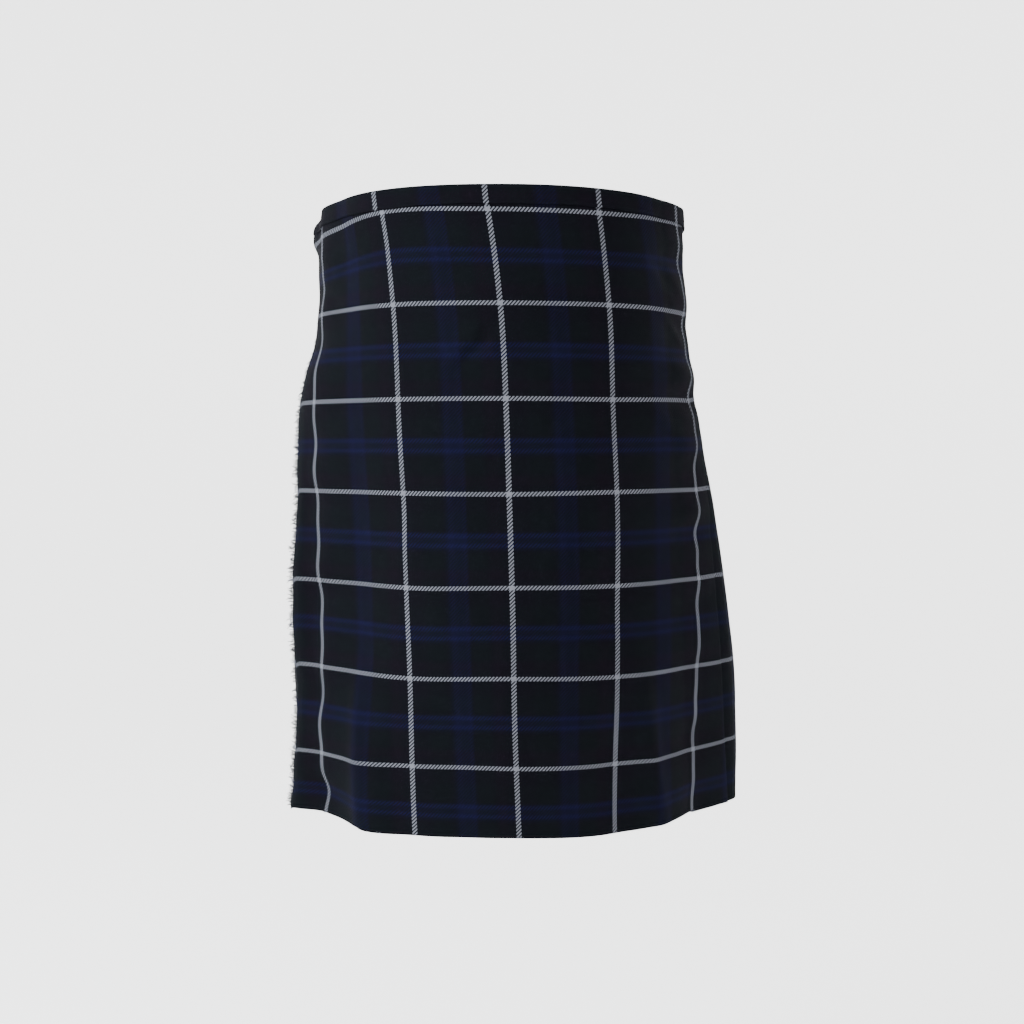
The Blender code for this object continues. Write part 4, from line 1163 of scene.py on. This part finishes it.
def strap_leather():
    """Black bridle leather: pebbled grain, a waxed face and slightly worn edges."""
    f = Finish("black bridle leather", rgb(0.004, 0.0035, 0.0032), 0.5)
    f.set("Specular IOR Level", 0.10)
    _, across = f.uv()
    here = f.here()
    cells = f.node("ShaderNodeTexVoronoi", {"feature": "DISTANCE_TO_EDGE"},
                   {"Vector": here, "Scale": 1150.0})
    grain = f.ramp(cells, 0.0, 0.28)
    patches = f.noise(here, 60.0, 3.0)
    worn = f.ramp(abs(across), 0.0112, 0.0125)
    colour = f.mix(worn * patches, rgb(0.0034, 0.0028, 0.0026), rgb(0.017, 0.012, 0.009))
    f.set("Base Color", f.tint(colour, 0.75 + 0.5 * patches))
    f.set("Roughness", 0.40 + 0.16 * patches + 0.10 * (1.0 - grain))
    f.set("Normal", f.bump(grain + 0.4 * f.noise(here, 300.0, 2.0), 0.00010, 0.5))
    return f.material


def buckle_metal():
    """Polished nickel with fine rubbed marks."""
    f = Finish("polished nickel", rgb(0.62, 0.60, 0.57), 0.24, Metallic=1.0)
    here = f.here(1.0, (1, 1, 6))
    rubbed = f.noise(here, 420.0, 4.0)
    dull = f.noise(f.here(), 90.0, 2.0)
    f.set("Base Color", f.mix(dull, rgb(0.66, 0.64, 0.60), rgb(0.50, 0.48, 0.45)))
    f.set("Roughness", 0.16 + 0.18 * rubbed)
    f.set("Normal", f.bump(rubbed, 0.00004, 0.3))
    return f.material


def waxed_thread():
    """Dark waxed thread, twisted along its length."""
    f = Finish("waxed stitching thread", rgb(0.03, 0.027, 0.025), 0.5)
    along, turn = f.uv()
    strand = ((along * 5.0 + turn) * 6.2832).sine()
    # lighter on the crests of the twist and darker in its grooves: painted shade that follows the same
    # ridges as the bump
    f.set("Base Color", f.mix(strand * 0.5 + 0.5, rgb(0.010, 0.009, 0.009), rgb(0.034, 0.030, 0.028)))
    f.set("Normal", f.bump(strand, 0.00005, 0.6))
    return f.material


def paper():
    """Matt pale ground, very slightly uneven."""
    f = Finish("pale ground", rgb(0.55, 0.55, 0.55), 0.9)
    f.set("Specular IOR Level", 0.1)
    soft = f.noise(f.here(), 1.6, 2.0)
    f.set("Base Color", f.mix(soft, rgb(0.54, 0.54, 0.54), rgb(0.56, 0.56, 0.56)))
    f.set("Emission Color", rgb(1.0, 1.0, 1.0))
    f.set("Emission Strength", 1.7)
    return f.material


# --- studio -------------------------------------------------------------------------------
FLOOR = -1.110


def make_studio():
    """A round floor that curves up into a wall all round, soft lights, and the camera.

    The floor is a profile, flat and then a quarter circle and a straight wall, turned about Z.
    """
    bend = np.linspace(0, np.pi / 2, 13)
    wall_at, radius = 5.0, 1.6
    out = np.concatenate(([0.4, 2.0], wall_at - radius + radius * np.sin(bend), [wall_at]))
    up = np.concatenate(([0.0, 0.0], radius - radius * np.cos(bend), [6.0])) + FLOOR
    turn = np.linspace(0, 2 * np.pi, 73)[:-1]
    rings = np.stack((out[:, None] * np.cos(turn), out[:, None] * np.sin(turn),
                      up[:, None] + 0 * turn), -1)
    points = np.concatenate((rings.reshape(-1, 3), [[0.0, 0.0, FLOOR]]))
    at = np.arange(len(out) * len(turn)).reshape(len(out), len(turn))
    around_once = np.roll(at, -1, axis=1)
    quads = np.stack((at[:-1], around_once[:-1], around_once[1:], at[1:]), -1).reshape(-1, 4)
    middle = np.stack((around_once[0], at[0], np.full(len(turn), len(points) - 1)), -1)
    mesh = bpy.data.meshes.new("studio_floor")
    mesh.from_pydata(points.tolist(), [], quads.tolist() + middle.tolist())
    mesh.shade_smooth()
    floor = bpy.data.objects.new("studio_floor", mesh)
    bpy.context.scene.collection.objects.link(floor)
    mesh.materials.append(paper())

    world = bpy.data.worlds.new("studio")
    bpy.context.scene.world = world
    world.use_nodes = True
    world.node_tree.nodes["Background"].inputs["Color"].default_value = rgb(1.0, 1.0, 1.0)
    world.node_tree.nodes["Background"].inputs["Strength"].default_value = 1.0

    #        name      place                size  power  colour
    lights = (
        ("key", (-2.4, -1.3, 0.8), 1.4, 240.0, (0.90, 0.96, 1.0)),
        ("fill", (2.3, -0.6, 0.3), 1.8, 4.0, (1.0, 1.0, 1.0)),
        ("back", (0.3, 1.9, 1.6), 1.8, 20.0, (1.0, 1.0, 1.0)),
    )
    for name, at_point, size, power, colour in lights:
        lamp = bpy.data.lights.new(name, "AREA")
        lamp.shape, lamp.size, lamp.size_y = "RECTANGLE", size, size
        lamp.energy, lamp.color = power, colour
        light = bpy.data.objects.new(name, lamp)
        light.location = at_point
        back = np.array(at_point) - np.array((0.0, 0.0, -0.3))
        light.rotation_mode = "QUATERNION"
        light.rotation_quaternion = Vector(back).to_track_quat("Z", "Y")
        bpy.context.scene.collection.objects.link(light)

    lens = bpy.data.cameras.new("camera")
    lens.lens, lens.sensor_width = 44.88, 36.0
    camera = bpy.data.objects.new("camera", lens)
    camera.location = (0.008, -1.296, -0.257)
    camera.rotation_euler = (math.radians(88.0), 0.0, 0.0)
    bpy.context.scene.collection.objects.link(camera)
    bpy.context.scene.camera = camera


# --- the kilt -----------------------------------------------------------------------------
cloth = tartan()
threads = fringe_wool()
over_apron = make_over_apron(cloth)
pleats_first = make_pleats("pleats_first_cloth", 1, FIRST_LENGTH, cloth)
pleats_second = make_pleats("pleats_second_cloth", FIRST_LENGTH + 1, PLEATS, cloth)
under_apron = make_under_apron(cloth)
band_over, band_back, band_under = make_waistband(cloth)
fringe = make_fringe(threads)
raw_end = make_frayed_end(threads)

for obj, node in ((over_apron, "over_apron"), (pleats_first, "pleats_first"),
                  (pleats_second, "pleats_second"), (under_apron, "under_apron"),
                  (band_over, "waistband_over"), (band_back, "waistband_back"),
                  (band_under, "waistband_under"), (fringe, "apron_fringe")):
    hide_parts(node)

fittings = (strap_leather(), buckle_metal(), waxed_thread())
make_fastening("right", lambda z: EDGE + 0 * z, -1, [(-0.030, LOW), (-0.010, LOW)], fittings)
make_fastening("left", slit_s, 1, strap_lead(), fittings)
make_slit_edge(fittings[2])

make_studio()
